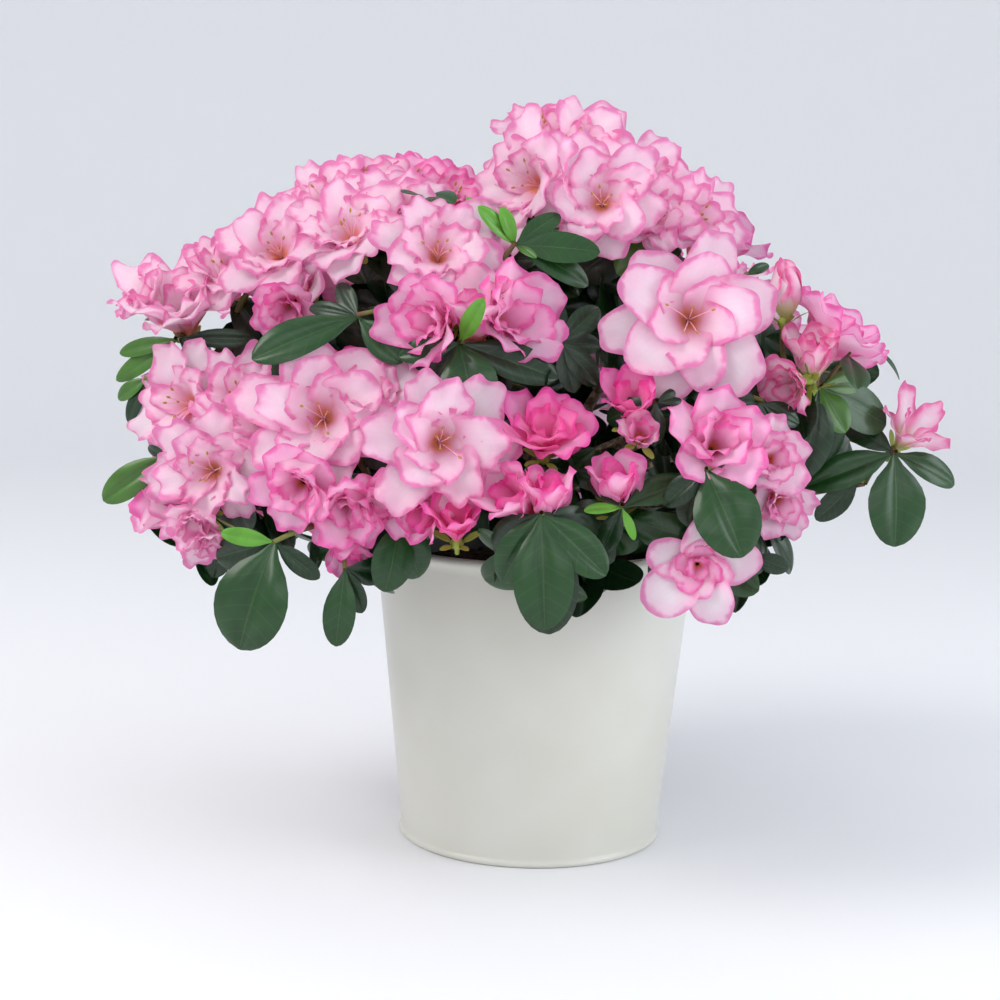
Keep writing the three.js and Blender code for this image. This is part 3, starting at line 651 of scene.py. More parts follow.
stem_line = [
    (0, 2, STEM_FOOT - 3),
    (2.5, 2, STEM_FOOT + 18),
    (-2.5, 1, STEM_FOOT + 40),
    (0, 0, STEM_FOOT + STEM_HEIGHT),
]
stem_share = np.linspace(0, 1, STEM_ROWS + 1)
stem_flare = (FLARE_RADIUS - STEM_RADIUS) * (1 - np.minimum(stem_share / FLARE_SHARE, 1)) ** 2
stem_radii = STEM_RADIUS + (STEM_TIP - STEM_RADIUS) * stem_share + stem_flare
stem_radii[-2:] *= [0.8, 0.1]
stem_shape, stem_faces = tubes([stem_line], [stem_radii], STEM_SIDES, STEM_ROWS, RIDGE_DEPTH)


def bough_end(mass):
    """Where a mass's bough ends, and the way that it points there."""
    heart = Vector(mass["heart"])
    inwards = (Vector((0, 0, mass["fork"] - 8)) - heart).normalized()
    return heart + inwards * (mass["reach"] * 0.5), -inwards


def bough_line(mass):
    """The control points of a mass's bough, from within the stem to its own tip."""
    tip, way = bough_end(mass)
    share = (mass["fork"] - STEM_FOOT) / STEM_HEIGHT
    axis = Vector(curve_points([stem_line], [share])[0][0, 0])
    level = Vector((tip.x - axis.x, tip.y - axis.y, 0)).normalized()
    far = (tip - axis).length
    return [
        axis + level * 2,
        axis + level * (6 + far * 0.25) + Vector((0, 0, far * 0.06)),
        tip - way * (far * 0.32) + Vector((0, 0, far * 0.05)),
        tip + way,
    ]


bough_lines = [bough_line(mass) for mass in MASSES]
bough_share = np.linspace(0, 1, BOUGH_ROWS + 1)
bough_radii = BOUGH_RADIUS + (BOUGH_TIP - BOUGH_RADIUS) * bough_share
bough_radii = [bough_radii + COLLAR * np.exp(-bough_share * 14)] * len(MASSES)
bough_shapes, bough_faces = tubes(bough_lines, bough_radii, BOUGH_SIDES, BOUGH_ROWS, RIDGE_DEPTH / 2)

bark, bark_skin = new_material("azalea bark", Roughness=0.85, Specular_IOR_Level=0.3)
flakes = ramped(bark, noisy(bark, 2.5, 5), 0.38, 0.62)
paint(bark, bark_skin, blended(bark, flakes, linear(BARK_DARK), linear(BARK_PALE)))
roughened(bark, bark_skin, noisy(bark, 0.8, 4), 0.3)
wood_mesh = merged(
    "stem_and_boughs",
    closed(joined("stem", stem_shape, stem_faces)),
    closed(joined("boughs", bough_shapes, bough_faces)),
)
every_limb = ["main_stem"] + [mass["name"] + "_bough" for mass in MASSES]
add_piece("stem_and_boughs", wood_mesh, "bark", every_limb, bark)


# Shoots grow on from the boughs: a stem into each mass, a twig to each flower or whorl from the nearest
# wood, and finer side twigs with leaves of their own. Young twigs are smooth and green, older ones brown.
TWIG_RADIUS = 1.5
TWIG_TIP = 0.9
SIDE_TWIG = (0.9, 0.6)
TWIG_SIDES = 6
TWIG_ROWS = 6
TWIG_GREEN = "#6c7434"
TWIG_BROWN = "#6a5138"

shoots = []
twig_lines = []
twig_sizes = []
for number, mass in enumerate(MASSES):
    heart = Vector(mass["heart"])
    start, way = bough_end(mass)
    walls = neighbour_walls(mass)
    middle = start.lerp(heart, 0.5)
    twig_lines.append([start - way, middle, heart])
    twig_sizes.append((BOUGH_TIP, TWIG_RADIUS))
    reach = (heart - start).length
    wood = [(start.lerp(heart, 0.55), reach * 0.55), (heart, reach)]
    for which, shoot in enumerate(shoots_of(mass, number)):
        tip = shoot["tip"]
        parent, length = min(wood, key=lambda one: (one[0] - tip).length + 0.35 * one[1])
        far = (tip - parent).length
        bow = Vector((chance(number, which, 9) - 0.5, chance(number, which, 10) - 0.5, 0.5))
        middle = parent.lerp(tip, 0.5) + bow * (far * 0.16)
        end = tip + shoot["way"] * 2.5
        if any(point.dot(normal) > limit for normal, limit in walls for point in (parent, middle, end)):
            continue
        wood += [(middle, length + far * 0.5), (tip, length + far)]
        twig_lines.append([parent, middle * 2 - (parent + end) / 2, end])
        twig_sizes.append((TWIG_RADIUS, TWIG_TIP))
        shoots.append({**shoot, "mass": number, "which": which, "from": parent})

# Fine twigs with leaves of their own fill the shade inside: two on each twig of the rule's own shoots, and
# a few round each heart.
side_twigs = []


def add_side_twig(number, seed, base, way, length):
    """Adds a fine twig of that length to the mass of that number."""
    tip = base + way * length
    side_twigs.append({"mass": number, "seed": seed, "tip": tip, "way": way})
    twig_lines.append([base, base.lerp(tip, 0.5) + Vector((0, 0, 1)), tip])
    twig_sizes.append(SIDE_TWIG)


for shoot in shoots:
    number = shoot["mass"]
    for k in range(0 if "place" in shoot else 2):
        seed = shoot["which"] * 7 + k
        base = shoot["from"].lerp(shoot["tip"], 0.3 + 0.35 * k)
        spread = direction(360 * chance(number, seed, 21), -10 + 50 * chance(number, seed, 22))
        way = (spread + shoot["way"] * 0.6).normalized()
        add_side_twig(number, seed, base, way, 7 + 8 * chance(number, seed, 23))
for number, mass in enumerate(MASSES):
    for k in range(mass["inner"]):
        lift = math.degrees(math.asin(1 - 2 * (k + 0.5) / max(mass["inner"], INNER_TWIGS)))
        way = direction(k * GOLDEN_ANGLE + number * 50, lift * 0.8)
        add_side_twig(number, 300 + k, Vector(mass["heart"]), way, 10 + 12 * chance(number, k, 24))

twig_sizes = np.array(twig_sizes)
twig_share = np.linspace(0, 1, TWIG_ROWS + 1)
twig_radii = twig_sizes[:, :1] + (twig_sizes[:, 1:] - twig_sizes[:, :1]) * twig_share
twig_shapes, twig_faces = tubes(twig_lines, twig_radii, TWIG_SIDES, TWIG_ROWS)
# The stem into each mass has bark, and the others are young.
is_young = (twig_sizes[:, 0] < BOUGH_TIP).astype(int)

young_bark, young_bark_skin = new_material("young azalea twig", Roughness=0.6)
ageing = ramped(young_bark, noisy(young_bark, 14), 0.4, 0.6)
paint(young_bark, young_bark_skin, blended(young_bark, ageing, linear(TWIG_GREEN), linear(TWIG_BROWN)))
twig_mesh = closed(joined("twigs", twig_shapes, twig_faces, slots=is_young))
every_mass = [mass["name"] + "_mass" for mass in MASSES]
add_piece("twigs", twig_mesh, "bark", every_mass, bark, young_bark)


# Leaves stand in whorls below the flowers and round the leafy tips. They are leathery, dark green and
# satin above, a little folded along the midrib, and the newest are light green and narrow.
LEAF_LENGTH = 33
LEAF_WIDTH = 0.62
LEAF_COLOURS = {"old": "#112d13", "full": "#1a4219", "fresh": "#406b24", "new": "#5a9a2a"}
RIB_COLOUR = "#557a46"
LEAF_WAIST = 0.53
LEAF_GRID = pattern(8, 11)
# How far in front of a flower's face no free leaf stands, and how far a free leaf reaches from the heart,
# as a share of its mass's reach, in the masses that the photo shows and in the others.
CLEAR_OF_FACE = 26
FREE_REACH = (0.84, 1.12)
# The rings of leaves round leafy tips, under flowers and round side twigs: how far they open in degrees.
# Those lower than the hang height hang more, the lower they are.
TIP_LEAVES = 7
SIDE_LEAVES = 5
TIP_OPENED = 56
COLLAR_OPENED = 82
SIDE_OPENED = 50
HANG_HEIGHT = 172
HANG_FALL = 60


def unit(vectors):
    """Vectors of length 1 with the same directions."""
    return vectors / np.linalg.norm(vectors, axis=-1, keepdims=True)


def atlas(count, v, u):
    """A map with a square of its own for each shape, for textures that are kept with the piece."""
    side = math.ceil(math.sqrt(count))
    cell = np.stack([np.arange(count) % side, np.arange(count) // side], 1)
    inside = np.stack([0.06 + 0.88 * (v / 2 + 0.5), 0.06 + 0.88 * u], 1)
    return (cell[:, None] + inside[None]) / side


def fields(rows, vectors):
    """The columns of rows that begin with so many vectors and go on with numbers, as arrays."""
    found = [np.array(column, float) for column in zip(*rows)]
    return found[:vectors] + [column[:, None] for column in found[vectors:]]


def leaf_shapes(rows):
    """Points of leaves from rows of foot, way, up, length, width, curl, fold and wave."""
    v, u, _ = LEAF_GRID
    foot, way, up, length, width, curl, fold, wave = fields(rows, 3)
    way = unit(way)
    side = unit(np.cross(way, up))
    up = np.cross(side, way)
    u = 1 - (1 - u) ** 1.5
    blade = np.clip((u - 0.07) / 0.93, 0, 1)
    past = np.clip((blade - LEAF_WAIST) / (1 - LEAF_WAIST), 0, 1)
    outline = np.sin(np.minimum(blade / LEAF_WAIST, 1) * math.pi / 2) ** 0.75 * (1 - past**2) ** 0.54
    outline = np.maximum(outline, 0.045)
    half = length * width * 0.5 * outline
    bend = curl * u
    run = length * np.sin(bend) / np.maximum(curl, 1e-3)
    drop = length * (1 - np.cos(bend)) / np.maximum(curl, 1e-3)
    quilt = fold * half * (1.9 * np.abs(v) ** 0.8 - 1.5 * v**2)
    rise = quilt - drop + wave * v**2 * half * np.sin(u * 8 + v * 2)
    place = foot[:, None] + way[:, None] * run[..., None] + up[:, None] * rise[..., None]
    return place + side[:, None] * (half * v)[..., None] * np.cos(fold)[..., None]


leaf_rows = [[] for _ in MASSES]
leaf_kinds = [[] for _ in MASSES]
flowers = [shoot for shoot in shoots if shoot["bears"] != "leaves"]
flower_tips = np.array([shoot["tip"] for shoot in flowers])
flower_ways = np.array([shoot["way"] for shoot in flowers])
flower_widths = np.array([shoot["width"] for shoot in flowers], float)
flower_depths = flower_widths * [DEPTH[shoot["bears"]] * SEAT for shoot in flowers]


def in_a_flower(points):
    """Whether any point lies within a flower, or close in front of its face."""
    away = np.asarray(points, float)[:, None] - flower_tips[None]
    height = (away * flower_ways).sum(2)
    aside = np.linalg.norm(away - height[..., None] * flower_ways, axis=2)
    reach = 0.46 * flower_widths * np.clip(0.3 + height / flower_depths, 0, 1)
    return bool(((height > 2) & (height < flower_depths + CLEAR_OF_FACE) & (aside < reach)).any())


def add_leaf(number, seed, foot, way, up, length, width, kind):
    """Adds a leaf of the mass of that number, a little curled, folded and waved by its seed."""
    curl = 0.2 + 0.5 * chance(number, seed, 31)
    fold = 0.1 + 0.28 * chance(number, seed, 32)
    leaf_rows[number].append((foot, way, up, length, width, curl, fold, 0.1 * chance(number, seed, 33)))
    leaf_kinds[number].append(kind)


def is_free(number, points):
    """Whether points are clear of the flowers and of the pot, and within the mass of that number."""
    mass = MASSES[number]
    heart = Vector(mass["heart"])
    reach = mass["reach"] * FREE_REACH[0 if mass["shoots"] else 1]
    if in_a_flower(points) or any((point - heart).length > reach for point in points):
        return False
    return not any(point.z < POT_HEIGHT + 5 and point.xy.length < LIP_RADIUS + 6 for point in points)


def pick_kind(number, seed):
    """Old, full-grown or fresh, dealt out by whorl."""
    return int(2.6 * chance(number, seed, 34) ** 1.8)


def leaning(way, turn, opened):
    """The way that leans by opened from this one, towards the side that turn gives, and that side."""
    first, second = across(way)
    side = first * math.cos(turn) + second * math.sin(turn)
    return way * math.cos(opened) + side * math.sin(opened), side


def ring_of_leaves(number, seed, twig, count, opened, length, hang, kind):
    """Adds a ring of leaves round a twig's tip, where they are free."""
    tip, way = twig["tip"], twig["way"]
    for i in range(count):
        leaf = seed * 10 + i
        turn = ((i + 0.5 * chance(number, leaf, 5)) / count) * math.tau + chance(number, seed, 6) * 2
        blade, _ = leaning(way, turn, math.radians(opened + 20 * chance(number, leaf, 7)))
        blade = (blade - Vector((0, 0, hang))).normalized()
        foot = tip - way * (1.5 + (i % 3) * 1.6)
        long = length * (0.82 + 0.36 * chance(number, leaf, 8))
        wide = LEAF_WIDTH * (0.9 + 0.2 * chance(number, leaf, 35))
        side = blade.cross(way).normalized() * (long * wide * 0.4)
        points = [foot + blade * (long * share) for share in (0.35, 0.65, 1)]
        if is_free(number, points + [points[1] + side, points[1] - side]):
            add_leaf(number, leaf, foot, blade, way, long, wide, kind)


for shoot in shoots:
    number, which, tip = shoot["mass"], shoot["which"], shoot["tip"]
    if "blades" in shoot:
        for i, (turn, lift, length, width, kind) in enumerate(shoot["blades"]):
            way = direction(turn, lift)
            add_leaf(number, which * 10 + i, tip, way, shoot["way"], length, width, kind)
        continue
    hang = min(max((HANG_HEIGHT - tip.z) / HANG_FALL, 0.12), 0.8)
    kind = pick_kind(number, which)
    if shoot["bears"] == "leaves":
        ring_of_leaves(number, which, shoot, TIP_LEAVES, TIP_OPENED, LEAF_LENGTH, hang, kind)
    else:
        count = shoot["green"]
        ring_of_leaves(number, which, shoot, count, COLLAR_OPENED, LEAF_LENGTH * 0.95, hang / 2, kind)
for twig in side_twigs:
    number, seed = twig["mass"], twig["seed"]
    kind = min(pick_kind(number, seed + 200), 1)
    ring_of_leaves(number, seed + 50, twig, SIDE_LEAVES, SIDE_OPENED, LEAF_LENGTH * 0.8, 0.2, kind)


def reckoned(material, operation, *values):
    """The output of a sum or another operation on values or outputs."""
    return add_node(material, "Math", dict(enumerate(values)), operation=operation).outputs[0]


def veined(material, places, axis, **settings):
    """The output of bands that follow each other along a map's X or Y."""
    made = add_node(material, "TexWave", {"Vector": places, **settings}, bands_direction=axis)
    return made.outputs["Fac"]


def leaf_material(age, colour):
    """A leathery leaf: mottled green, a pale midrib, faint side veins and a satin skin."""
    material, shader = new_material(
        age + " azalea leaf", Roughness=0.36, Specular_IOR_Level=0.36, Coat_Weight=0.2, Coat_Roughness=0.18
    )
    places = add_node(material, "UVMap", uv_map="blade").outputs["UV"]
    split = add_node(material, "SeparateXYZ", {0: places})
    off_rib = reckoned(material, "ABSOLUTE", split.outputs["X"])
    rib = ramped(material, off_rib, 0.05, 0.01)
    slanted = reckoned(material, "MULTIPLY_ADD", off_rib, -0.9, split.outputs["Y"])
    slant = add_node(material, "CombineXYZ", {1: slanted}).outputs[0]
    veins = veined(material, slant, "Y", Scale=0.42, Distortion=0.5)
    side_veins = ramped(material, veins, 0.9, 1.0, 0.0, 0.07)
    mottle = ramped(material, noisy(material, 8), 0.35, 0.7, 0.0, 0.6)
    dark = [c * 0.68 for c in linear(colour)[:3]] + [1]
    blade = blended(material, mottle, linear(colour), dark)
    blade = blended(material, side_veins, blade, linear(RIB_COLOUR))
    rib_share = reckoned(material, "MULTIPLY", rib, 0.22)
    paint(material, shader, blended(material, rib_share, blade, linear(RIB_COLOUR)))
    roughened(material, shader, reckoned(material, "MAXIMUM", rib, side_veins), 0.2, 0.4)
    return material


def add_foliage(mass, title, grid, shapes, kinds, materials, map_name, rise=1, **marks):
    """Adds a mass's leaves or petals as one piece, with a map of their own grid and one for baking."""
    v, u, faces = grid
    name = mass["name"] + title
    places = np.broadcast_to(np.stack([v, u * rise], 1), shapes.shape[:2] + (2,))
    maps = {map_name: places, "OFBake": atlas(len(shapes), v, u)}
    mesh = joined(name, shapes, faces, marks, maps, np.array(kinds))
    add_piece(name, mesh, "foliage", [mass["name"] + "_mass"], *materials)


leaf_materials = [leaf_material(age, colour) for age, colour in LEAF_COLOURS.items()]
for mass, rows, kinds in zip(MASSES, leaf_rows, leaf_kinds):
    add_foliage(mass, "_leaves", LEAF_GRID, leaf_shapes(rows), kinds, leaf_materials, "blade", 6)


# A flower sits on a short downy stalk. Its green foot is a small cup with five narrow sepals, and the
# stamens stand in its throat, thin pink threads with brown tips.
STALK_GREEN = "#8c9a3c"
SEPAL_GREEN = "#9aa84a"
THREAD_PINK = "#f0b7c4"
ANTHER_BROWN = "#b58a3a"
# Radii from end to end, in mm.
FOOT_RADII = (0.9, 0.95, 1.1, 2.0, 2.7, 2.4, 1.6)
THREAD_RADII = (0.9, 0.4, 0.26, 0.22, 0.2, 0.2, 0.18)
ANTHER_RADII = (0.12, 0.42, 0.52, 0.5, 0.38, 0.12)
ANTHER_LENGTH = 2
SEPALS = 5
THREADS = 5

stalk_lines = [[s["tip"] + s["way"] * along for along in (-7, -2.5, 2)] for s in flowers]
sepal_rows = []
thread_lines = []
for shoot in flowers:
    number, which, tip, way = shoot["mass"], shoot["which"], shoot["tip"], shoot["way"]
    for i in range(SEPALS):
        seed = which * 10 + i
        turn = (i + 0.3 * chance(number, seed, 61)) * math.tau / SEPALS
        blade, outwards = leaning(way, turn, math.radians(38 + 30 * chance(number, seed, 62)))
        foot = tip - way * 1.5 + outwards * 1.2
        sepal_rows.append((foot, blade, -outwards, 7 + 4 * chance(number, seed, 63), 0.34, 0.3, 0.2, 0.0))
    for i in range(THREADS if shoot["bears"] == "bloom" else 0):
        seed = which * 20 + i
        turn = (i + 0.6 * chance(number, seed, 64)) * math.tau / THREADS
        thread, _ = leaning(way, turn, math.radians(5 + 20 * chance(number, seed, 65)))
        long = shoot["width"] * (0.28 + 0.14 * chance(number, seed, 66))
        foot = tip + way * 2
        thread_lines.append([foot, foot + way * (long * 0.5), foot + thread * long])
anther_lines = []
for _, bend, tip in thread_lines:
    way = (tip - bend).normalized()
    anther_lines.append([tip, tip + way, tip + way * ANTHER_LENGTH])


def add_rods(name, finish, colour, roughness, lines, radii, sides):
    """Adds round tapering rods of one plain material, each with the same radii from end to end."""
    shapes, faces = tubes(lines, [radii] * len(lines), sides, len(radii) - 1)
    skin, _ = new_material(finish, Base_Color=linear(colour), Roughness=roughness)
    add_piece(name, closed(joined(name, shapes, faces)), "foliage", every_mass, skin)


add_rods("flower_stalks", "downy azalea stalk", STALK_GREEN, 0.7, stalk_lines, FOOT_RADII, 8)
sepal_skin, _ = new_material("azalea sepal", Base_Color=linear(SEPAL_GREEN), Roughness=0.6)
sepal_mesh = joined("sepals", leaf_shapes(sepal_rows), LEAF_GRID[2])
add_piece("sepals", sepal_mesh, "foliage", every_mass, sepal_skin)
add_rods("stamen_threads", "azalea stamen thread", THREAD_PINK, 0.5, thread_lines, THREAD_RADII, 5)
add_rods("stamen_tips", "azalea anther", ANTHER_BROWN, 0.7, anther_lines, ANTHER_RADII, 6)


# Each bloom is double: whorls of thin petals round a short throat, the outer ones spread flat and the
# inner ones small and upright. A petal is blush, with a ruffled margin of deep pink, and its foot is
# flushed rosy, partly its own deeper pink and partly painted shade for the depths of the flower.
PETAL_GRID = pattern(16, 11)
PETAL_PATH = 48
WAIST = 0.52
# How much higher one side of a petal lies than the other, where each laps over its neighbour.
OVERLAP = 0.16
# How much of a petal's look is light that comes through it.
GLOW = 0.46
# Each petal's pale middle, flush, margin and throat.
BLUSH = ("#ffeef8", "#fdb9de", "#ea7cba", "#ffb27c")
ROSE = ("#fedff2", "#fd9fd6", "#ee64b4", "#ffad82")
HOT_PINK = ("#fdbee2", "#fc7ac2", "#ee4cab", "#f994a0")
NEW_PINK = ("#fdeef5", "#fb9fce", "#ea62a6", "#dbe296")
# For each whorl: petals, length and half-width as shares of the width, the angles from the axis at the
# petal's foot and tip in degrees, the ruffle as a share of the length, and how many tones pinker it is.
WHORLS = {
    "bloom": [
        (6, 0.68, 0.22, 22, 98, 0.045, 0),
        (5, 0.60, 0.21, 16, 78, 0.050, 0),
        (5, 0.46, 0.15, 18, 60, 0.060, 0),
        (4, 0.32, 0.11, 34, 70, 0.065, 0),
    ],
    "open": [
        (5, 0.66, 0.24, 16, 98, 0.030, 0),
        (4, 0.42, 0.17, 12, 80, 0.040, 0),
        (4, 0.34, 0.13, 16, 66, 0.060, 1),
        (3, 0.24, 0.09, 10, 44, 0.060, 1),
    ],
    "star": [
        (5, 0.98, 0.21, 12, 58, 0.035, 0),
        (2, 0.80, 0.16, 6, 22, 0.040, 1),
    ],
    "cup": [
        (5, 0.78, 0.29, 14, 66, 0.055, 0),
        (4, 0.66, 0.24, 8, 44, 0.060, 0),
        (3, 0.52, 0.16, 4, 30, 0.065, 0),
    ],
    "tulip": [
        (5, 1.16, 0.38, 14, 30, 0.035, 0),
        (3, 1.00, 0.30, 6, 16, 0.045, 1),
    ],
    "bud": [
        (3, 1.50, 0.66, 52, -58, 0.012, 0),
        (3, 1.42, 0.56, 40, -52, 0.012, 0),
    ],
}


def petal_shapes(rows):
    """Points of petals from rows of foot, axis, side, length, half, low, high, cupping, ruffle, waves,
    phase and ring, and each point's distance from the margin in mm."""
    v, u, _ = PETAL_GRID
    foot, axis, side, length, half, low, high, cupping, ruffle, waves, phase, ring = fields(rows, 3)
    beside = np.cross(axis, side)
    # The outer part of the grid is bent into a half round, so that the petal has no corners.
    past = np.clip((u - WAIST) / (1 - WAIST), 0, 1)
    share = v * np.sqrt(1 - past**2 / 2)
    run = np.where(u < WAIST, u, WAIST + (1 - WAIST) * past * np.sqrt(1 - v**2 / 2))
    beyond = (run - WAIST) / (1 - WAIST)
    opening = np.minimum(u / WAIST, 1)
    edge = np.sqrt(share**2 + np.maximum(beyond, 0) ** 2)
    round_edge = np.arctan2(share, beyond)
    # The petal's middle line curves from its low angle at the foot to its high angle at the tip.
    steps = np.linspace(0, 1, PETAL_PATH + 1)
    angle = low + (high - low) * steps**0.8
    middle = (angle[:, 1:] + angle[:, :-1]) / 2
    outwards = np.concatenate([0 * low, np.cumsum(np.sin(middle), 1)], 1) * length / PETAL_PATH
    upwards = np.concatenate([0 * low, np.cumsum(np.cos(middle), 1)], 1) * length / PETAL_PATH
    scallop = 1 + 0.8 * ruffle * edge**3 * np.sin(waves * 0.9 * round_edge + phase * 1.7)
    at = np.clip(run * (1 + (scallop - 1) * (u > WAIST)), 0, 1) * PETAL_PATH
    before = np.minimum(at.astype(int), PETAL_PATH - 1)
    part = at - before
    out_at, up_at, angle_at = (
        np.take_along_axis(a, before, 1) * (1 - part) + np.take_along_axis(a, before + 1, 1) * part
        for a in (outwards, upwards, np.broadcast_to(angle, outwards.shape))
    )
    # Across, it is cupped, one side laps over the next petal, and its margin is ruffled.
    claw = 0.2 + 0.8 * np.sin(opening * math.pi / 2) ** 1.3
    wide = half * claw * scallop
    bend = 1.15 * (1 - u) ** 1.6 + cupping * u
    bend = np.where(np.abs(bend) < 0.02, 0.02, bend)
    lateral = wide * np.sin(bend * share) / bend
    raised = wide * (1 - np.cos(bend * share)) / bend
    raised = raised + OVERLAP * lateral * opening
    free = edge**3 * opening
    ripple = np.sin(waves * round_edge + phase) + 0.15 * np.sin(waves * 1.6 * round_edge + phase * 2)
    raised = raised + ruffle * length * free * ripple
    lean = ruffle * length * free * 0.3 * np.cos(waves * round_edge + phase)
    facing = np.sin(angle_at)[..., None] * axis[:, None] - np.cos(angle_at)[..., None] * side[:, None]
    place = foot[:, None] + side[:, None] * (ring + out_at)[..., None] + axis[:, None] * up_at[..., None]
    place = place + beside[:, None] * lateral[..., None] + facing * raised[..., None]
    place = place + side[:, None] * (lean * np.sin(angle_at))[..., None]
    from_side = (1 - np.minimum(edge, 1)) * half
    return place, np.where(u < WAIST, (1 - np.abs(v)) * half * claw, from_side)


def flower_petals(shoot):
    """Rows for petal_shapes, for one flower, and each petal's material."""
    rows = []
    kinds = []
    width, number, which = shoot["width"], shoot["mass"], shoot["which"]
    is_bud = shoot["bears"] == "bud"
    spin = chance(number, which, 11) * math.tau
    foot = shoot["tip"] + shoot["way"] * 1.5
    for ring, (count, length, half, low, high, ruffle, pinker) in enumerate(WHORLS[shoot["bears"]]):
        for i in range(count):
            seed = which * 100 + ring * 10 + i
            odd = [chance(number, seed, 40 + k) - 0.5 for k in range(8)]
            turn = spin + (i + 0.5 * (ring % 2) + 0.24 * odd[0]) * math.tau / count + ring * 0.3
            _, side = leaning(shoot["way"], turn, 0)
            axis = (shoot["way"] + side * 0.1 * odd[1]).normalized()
            side = (side - axis * side.dot(axis)).normalized()
            long = length * width * (1 + 0.24 * odd[2])
            wide = half * width * (1 + 0.28 * odd[3])
            tilt = 0 if is_bud else 18 * odd[4]
            cupping = 2.5 if is_bud else 0.25 + 0.9 * odd[5]
            place = (foot + shoot["way"] * (0.9 * ring), axis, side)
            shape = (long, wide, math.radians(low), math.radians(high + tilt), cupping)
            ripple = (ruffle * shoot["frill"], 5 + 5 * abs(odd[6]), odd[7] * math.tau)
            rows.append((*place, *shape, *ripple, max(1.6 - 0.3 * ring, 0.6)))
            kinds.append(3 if shoot["tone"] == 3 else min(shoot["tone"] + pinker, 2))
    return rows, kinds


def petal_material(name, colours, halo_reach, halo_share, rosy_and_shade_share, throat_reach):
    """A thin petal: pale in the middle, flushed towards its ruffled margin and at its foot, where the
    flush is partly its own pink and partly painted shade. halo_reach is how far in mm the flush goes in
    from the margin, and throat_reach a share of the petal's length."""
    pale, flush, edge, throat = (linear(colour) for colour in colours)
    material, shader = new_material(name, Roughness=0.6, Specular_IOR_Level=0.3, Sheen_Weight=0.1)
    margin = add_node(material, "Attribute", attribute_name="margin").outputs["Fac"]
    along = add_node(material, "Attribute", attribute_name="along").outputs["Fac"]
    wobbly = reckoned(material, "ADD", margin, ramped(material, noisy(material, 7), 0.3, 0.7, -0.9, 0.9))
    halo = ramped(material, wobbly, halo_reach, 0.4, 0.0, halo_share)
    line = ramped(material, wobbly, 2.2, 0.2, 0.0, 0.85)
    line = reckoned(material, "MULTIPLY", line, ramped(material, along, 0.3, 0.65))
    # The rosy foot: partly the petal's own deeper pink, partly painted shade for the flower's depths.
    rosy_and_shade = ramped(material, along, 0.66, 0.2, 0.0, rosy_and_shade_share)
    foot = ramped(material, along, throat_reach, 0.1, 0.0, 0.85)
    places = add_node(material, "UVMap", uv_map="petal").outputs["UV"]
    veins = veined(material, places, "X", Scale=1.6, Distortion=1.2, Detail=1.0)
    faint = ramped(material, veins, 0.7, 1.0, 0.0, 0.06)
    colour = pale
    for share, tint in ((halo, flush), (rosy_and_shade, flush), (faint, flush), (line, edge), (foot, throat)):
        colour = blended(material, share, colour, tint)
    paint(material, shader, colour)
    roughened(material, shader, veins, 0.06, 0.2)
    glow = add_node(material, "BsdfTranslucent", {"Color": colour})
    mixed = add_node(material, "MixShader", {0: GLOW, 1: shader.outputs[0], 2: glow.outputs[0]})
    output = material.node_tree.nodes["Material Output"]
    material.node_tree.links.new(mixed.outputs[0], output.inputs["Surface"])
    return material


# The third number is the share of the rosy foot, which is partly painted shade.
petal_materials = [
    petal_material("blush azalea petal", BLUSH, 7.0, 0.55, 0.75, 0.4),
    petal_material("rose azalea petal", ROSE, 9.0, 0.65, 0.8, 0.36),
    petal_material("hot pink azalea petal", HOT_PINK, 11.0, 0.85, 0.8, 0.3),
    petal_material("new azalea petal", NEW_PINK, 6.0, 0.75, 0.15, 0.42),
]
for number, mass in enumerate(MASSES):
    grown = [flower_petals(shoot) for shoot in flowers if shoot["mass"] == number]
    if not grown:
        continue
    shapes, margin = petal_shapes([row for rows, _ in grown for row in rows])
    kinds = [kind for _, tones in grown for kind in tones]
    along = np.broadcast_to(PETAL_GRID[1], margin.shape)
    add_foliage(
        mass, "_petals", PETAL_GRID, shapes, kinds, petal_materials, "petal", margin=margin, along=along
    )


# The floor is plain and pale, and turns up far behind the plant. The light is that of a bright room: a
# wide window high on the right, a softer one on the left and white walls all round.
FLOOR = "#ecedf0"
FLOOR_RADIUS = 1300
FLOOR_BEND = 900
WALL_TOP = 2400
WINDOW_AIM = Vector((0, 0, 150))
SKY = "#eef1f5"
SKY_STRENGTH = 0.9

sweep_profile = [(0, 0), (FLOOR_RADIUS, 0)]
sweep_profile += arc((FLOOR_RADIUS, FLOOR_BEND), FLOOR_BEND, -90, 0, 16)
sweep_profile += [(FLOOR_RADIUS + FLOOR_BEND, WALL_TOP)]
sweep_mesh = turned("pale_floor", sweep_profile, 96)
for point in sweep_mesh.vertices:
    point.co.z -= 0.02 * MM
sweep_mesh.flip_normals()
floor_paint, _ = new_material("matte white paint", Base_Color=linear(FLOOR), Roughness=0.7)
coated("pale_floor", sweep_mesh, floor_paint)


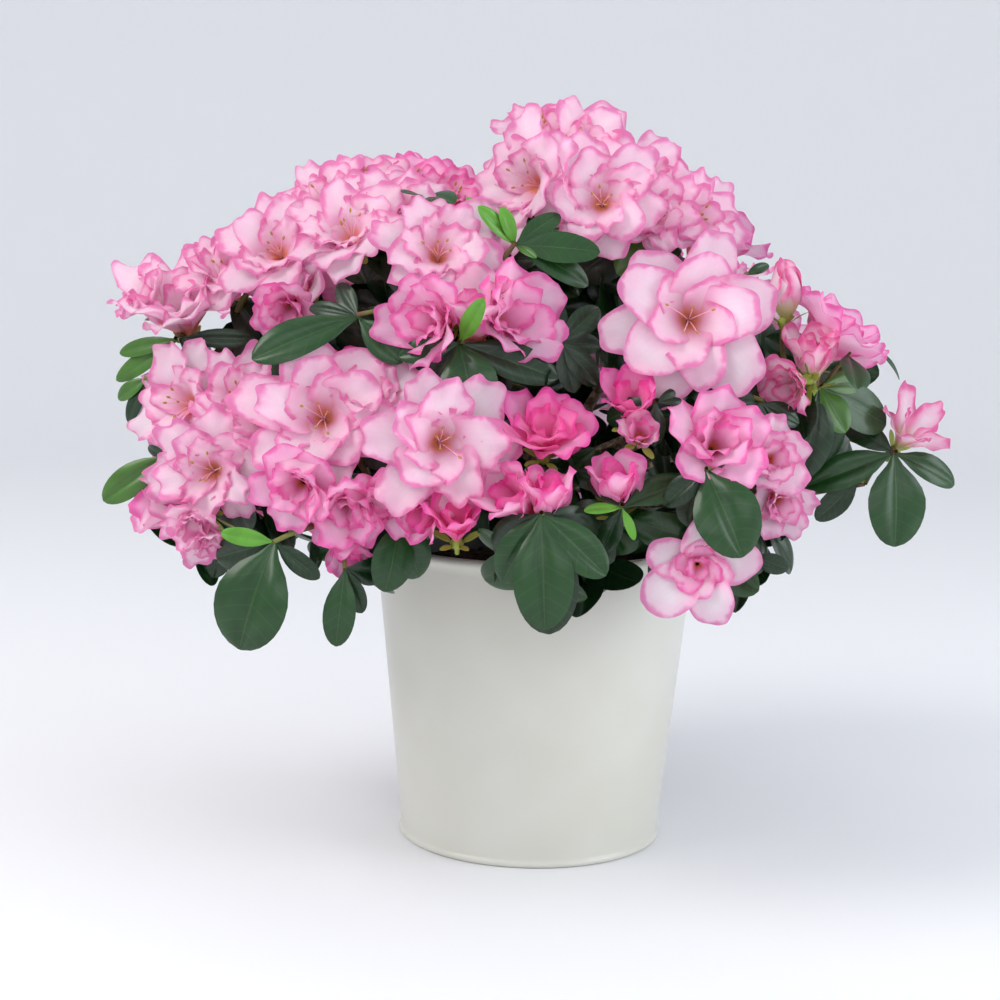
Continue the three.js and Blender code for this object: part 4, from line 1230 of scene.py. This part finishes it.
def add_window(name, place, size, power, colour):
    """Adds a soft area light at a place in mm, turned to the crown."""
    lamp = bpy.data.lights.new(name, "AREA")
    lamp.shape = "RECTANGLE"
    lamp.size, lamp.size_y = (s * MM for s in size)
    lamp.energy = power
    lamp.color = linear(colour)[:3]
    window = placed(name, lamp)
    to = (WINDOW_AIM - Vector(place)).normalized()
    window.rotation_euler = to.to_track_quat("-Z", "Y").to_euler()
    window.location = Vector(place) * MM


add_window("right_window", (1000, -350, 480), (700, 700), 5.5, "#f4f9ff")
add_window("left_window", (-900, -450, 1050), (800, 700), 10.5, "#fffbf6")
add_window("front_fill", (100, -1150, 600), (1200, 500), 2.4, "#ffffff")
world = bpy.data.worlds.new("bright room")
world.use_nodes = True
sky = world.node_tree.nodes["Background"].inputs
sky["Color"].default_value = linear(SKY)
sky["Strength"].default_value = SKY_STRENGTH
bpy.context.scene.world = world
bpy.context.scene.view_settings.view_transform = "Standard"


# The camera looks slightly down at the plant through a short telephoto lens, rolled a little clockwise.
FOCAL = 75.6
SENSOR = 36
PITCH = math.radians(8.4)
ROLL = math.radians(1.2)
DISTANCE = 902
AIM = Vector((0, 0, 130))
AIM_PIXEL = (535.5, 535.5)
IMAGE = 1000

forward = Vector((0, math.cos(PITCH), -math.sin(PITCH)))
level_right = Vector((1, 0, 0))
level_up = level_right.cross(forward)
right = level_right * math.cos(ROLL) + level_up * math.sin(ROLL)
up = level_up * math.cos(ROLL) - level_right * math.sin(ROLL)
pixels = FOCAL / SENSOR * IMAGE
beside = (AIM_PIXEL[0] - IMAGE / 2) / pixels * DISTANCE
above = -(AIM_PIXEL[1] - IMAGE / 2) / pixels * DISTANCE
eye = AIM - forward * DISTANCE - right * beside - up * above
lens = bpy.data.cameras.new("camera")
lens.lens = FOCAL
lens.sensor_width = SENSOR
lens.clip_start = 0.05
camera = placed("camera", lens)
turn = Matrix((right, up, -forward)).transposed().to_4x4()
camera.matrix_world = Matrix.Translation(eye * MM) @ turn
bpy.context.scene.camera = camera
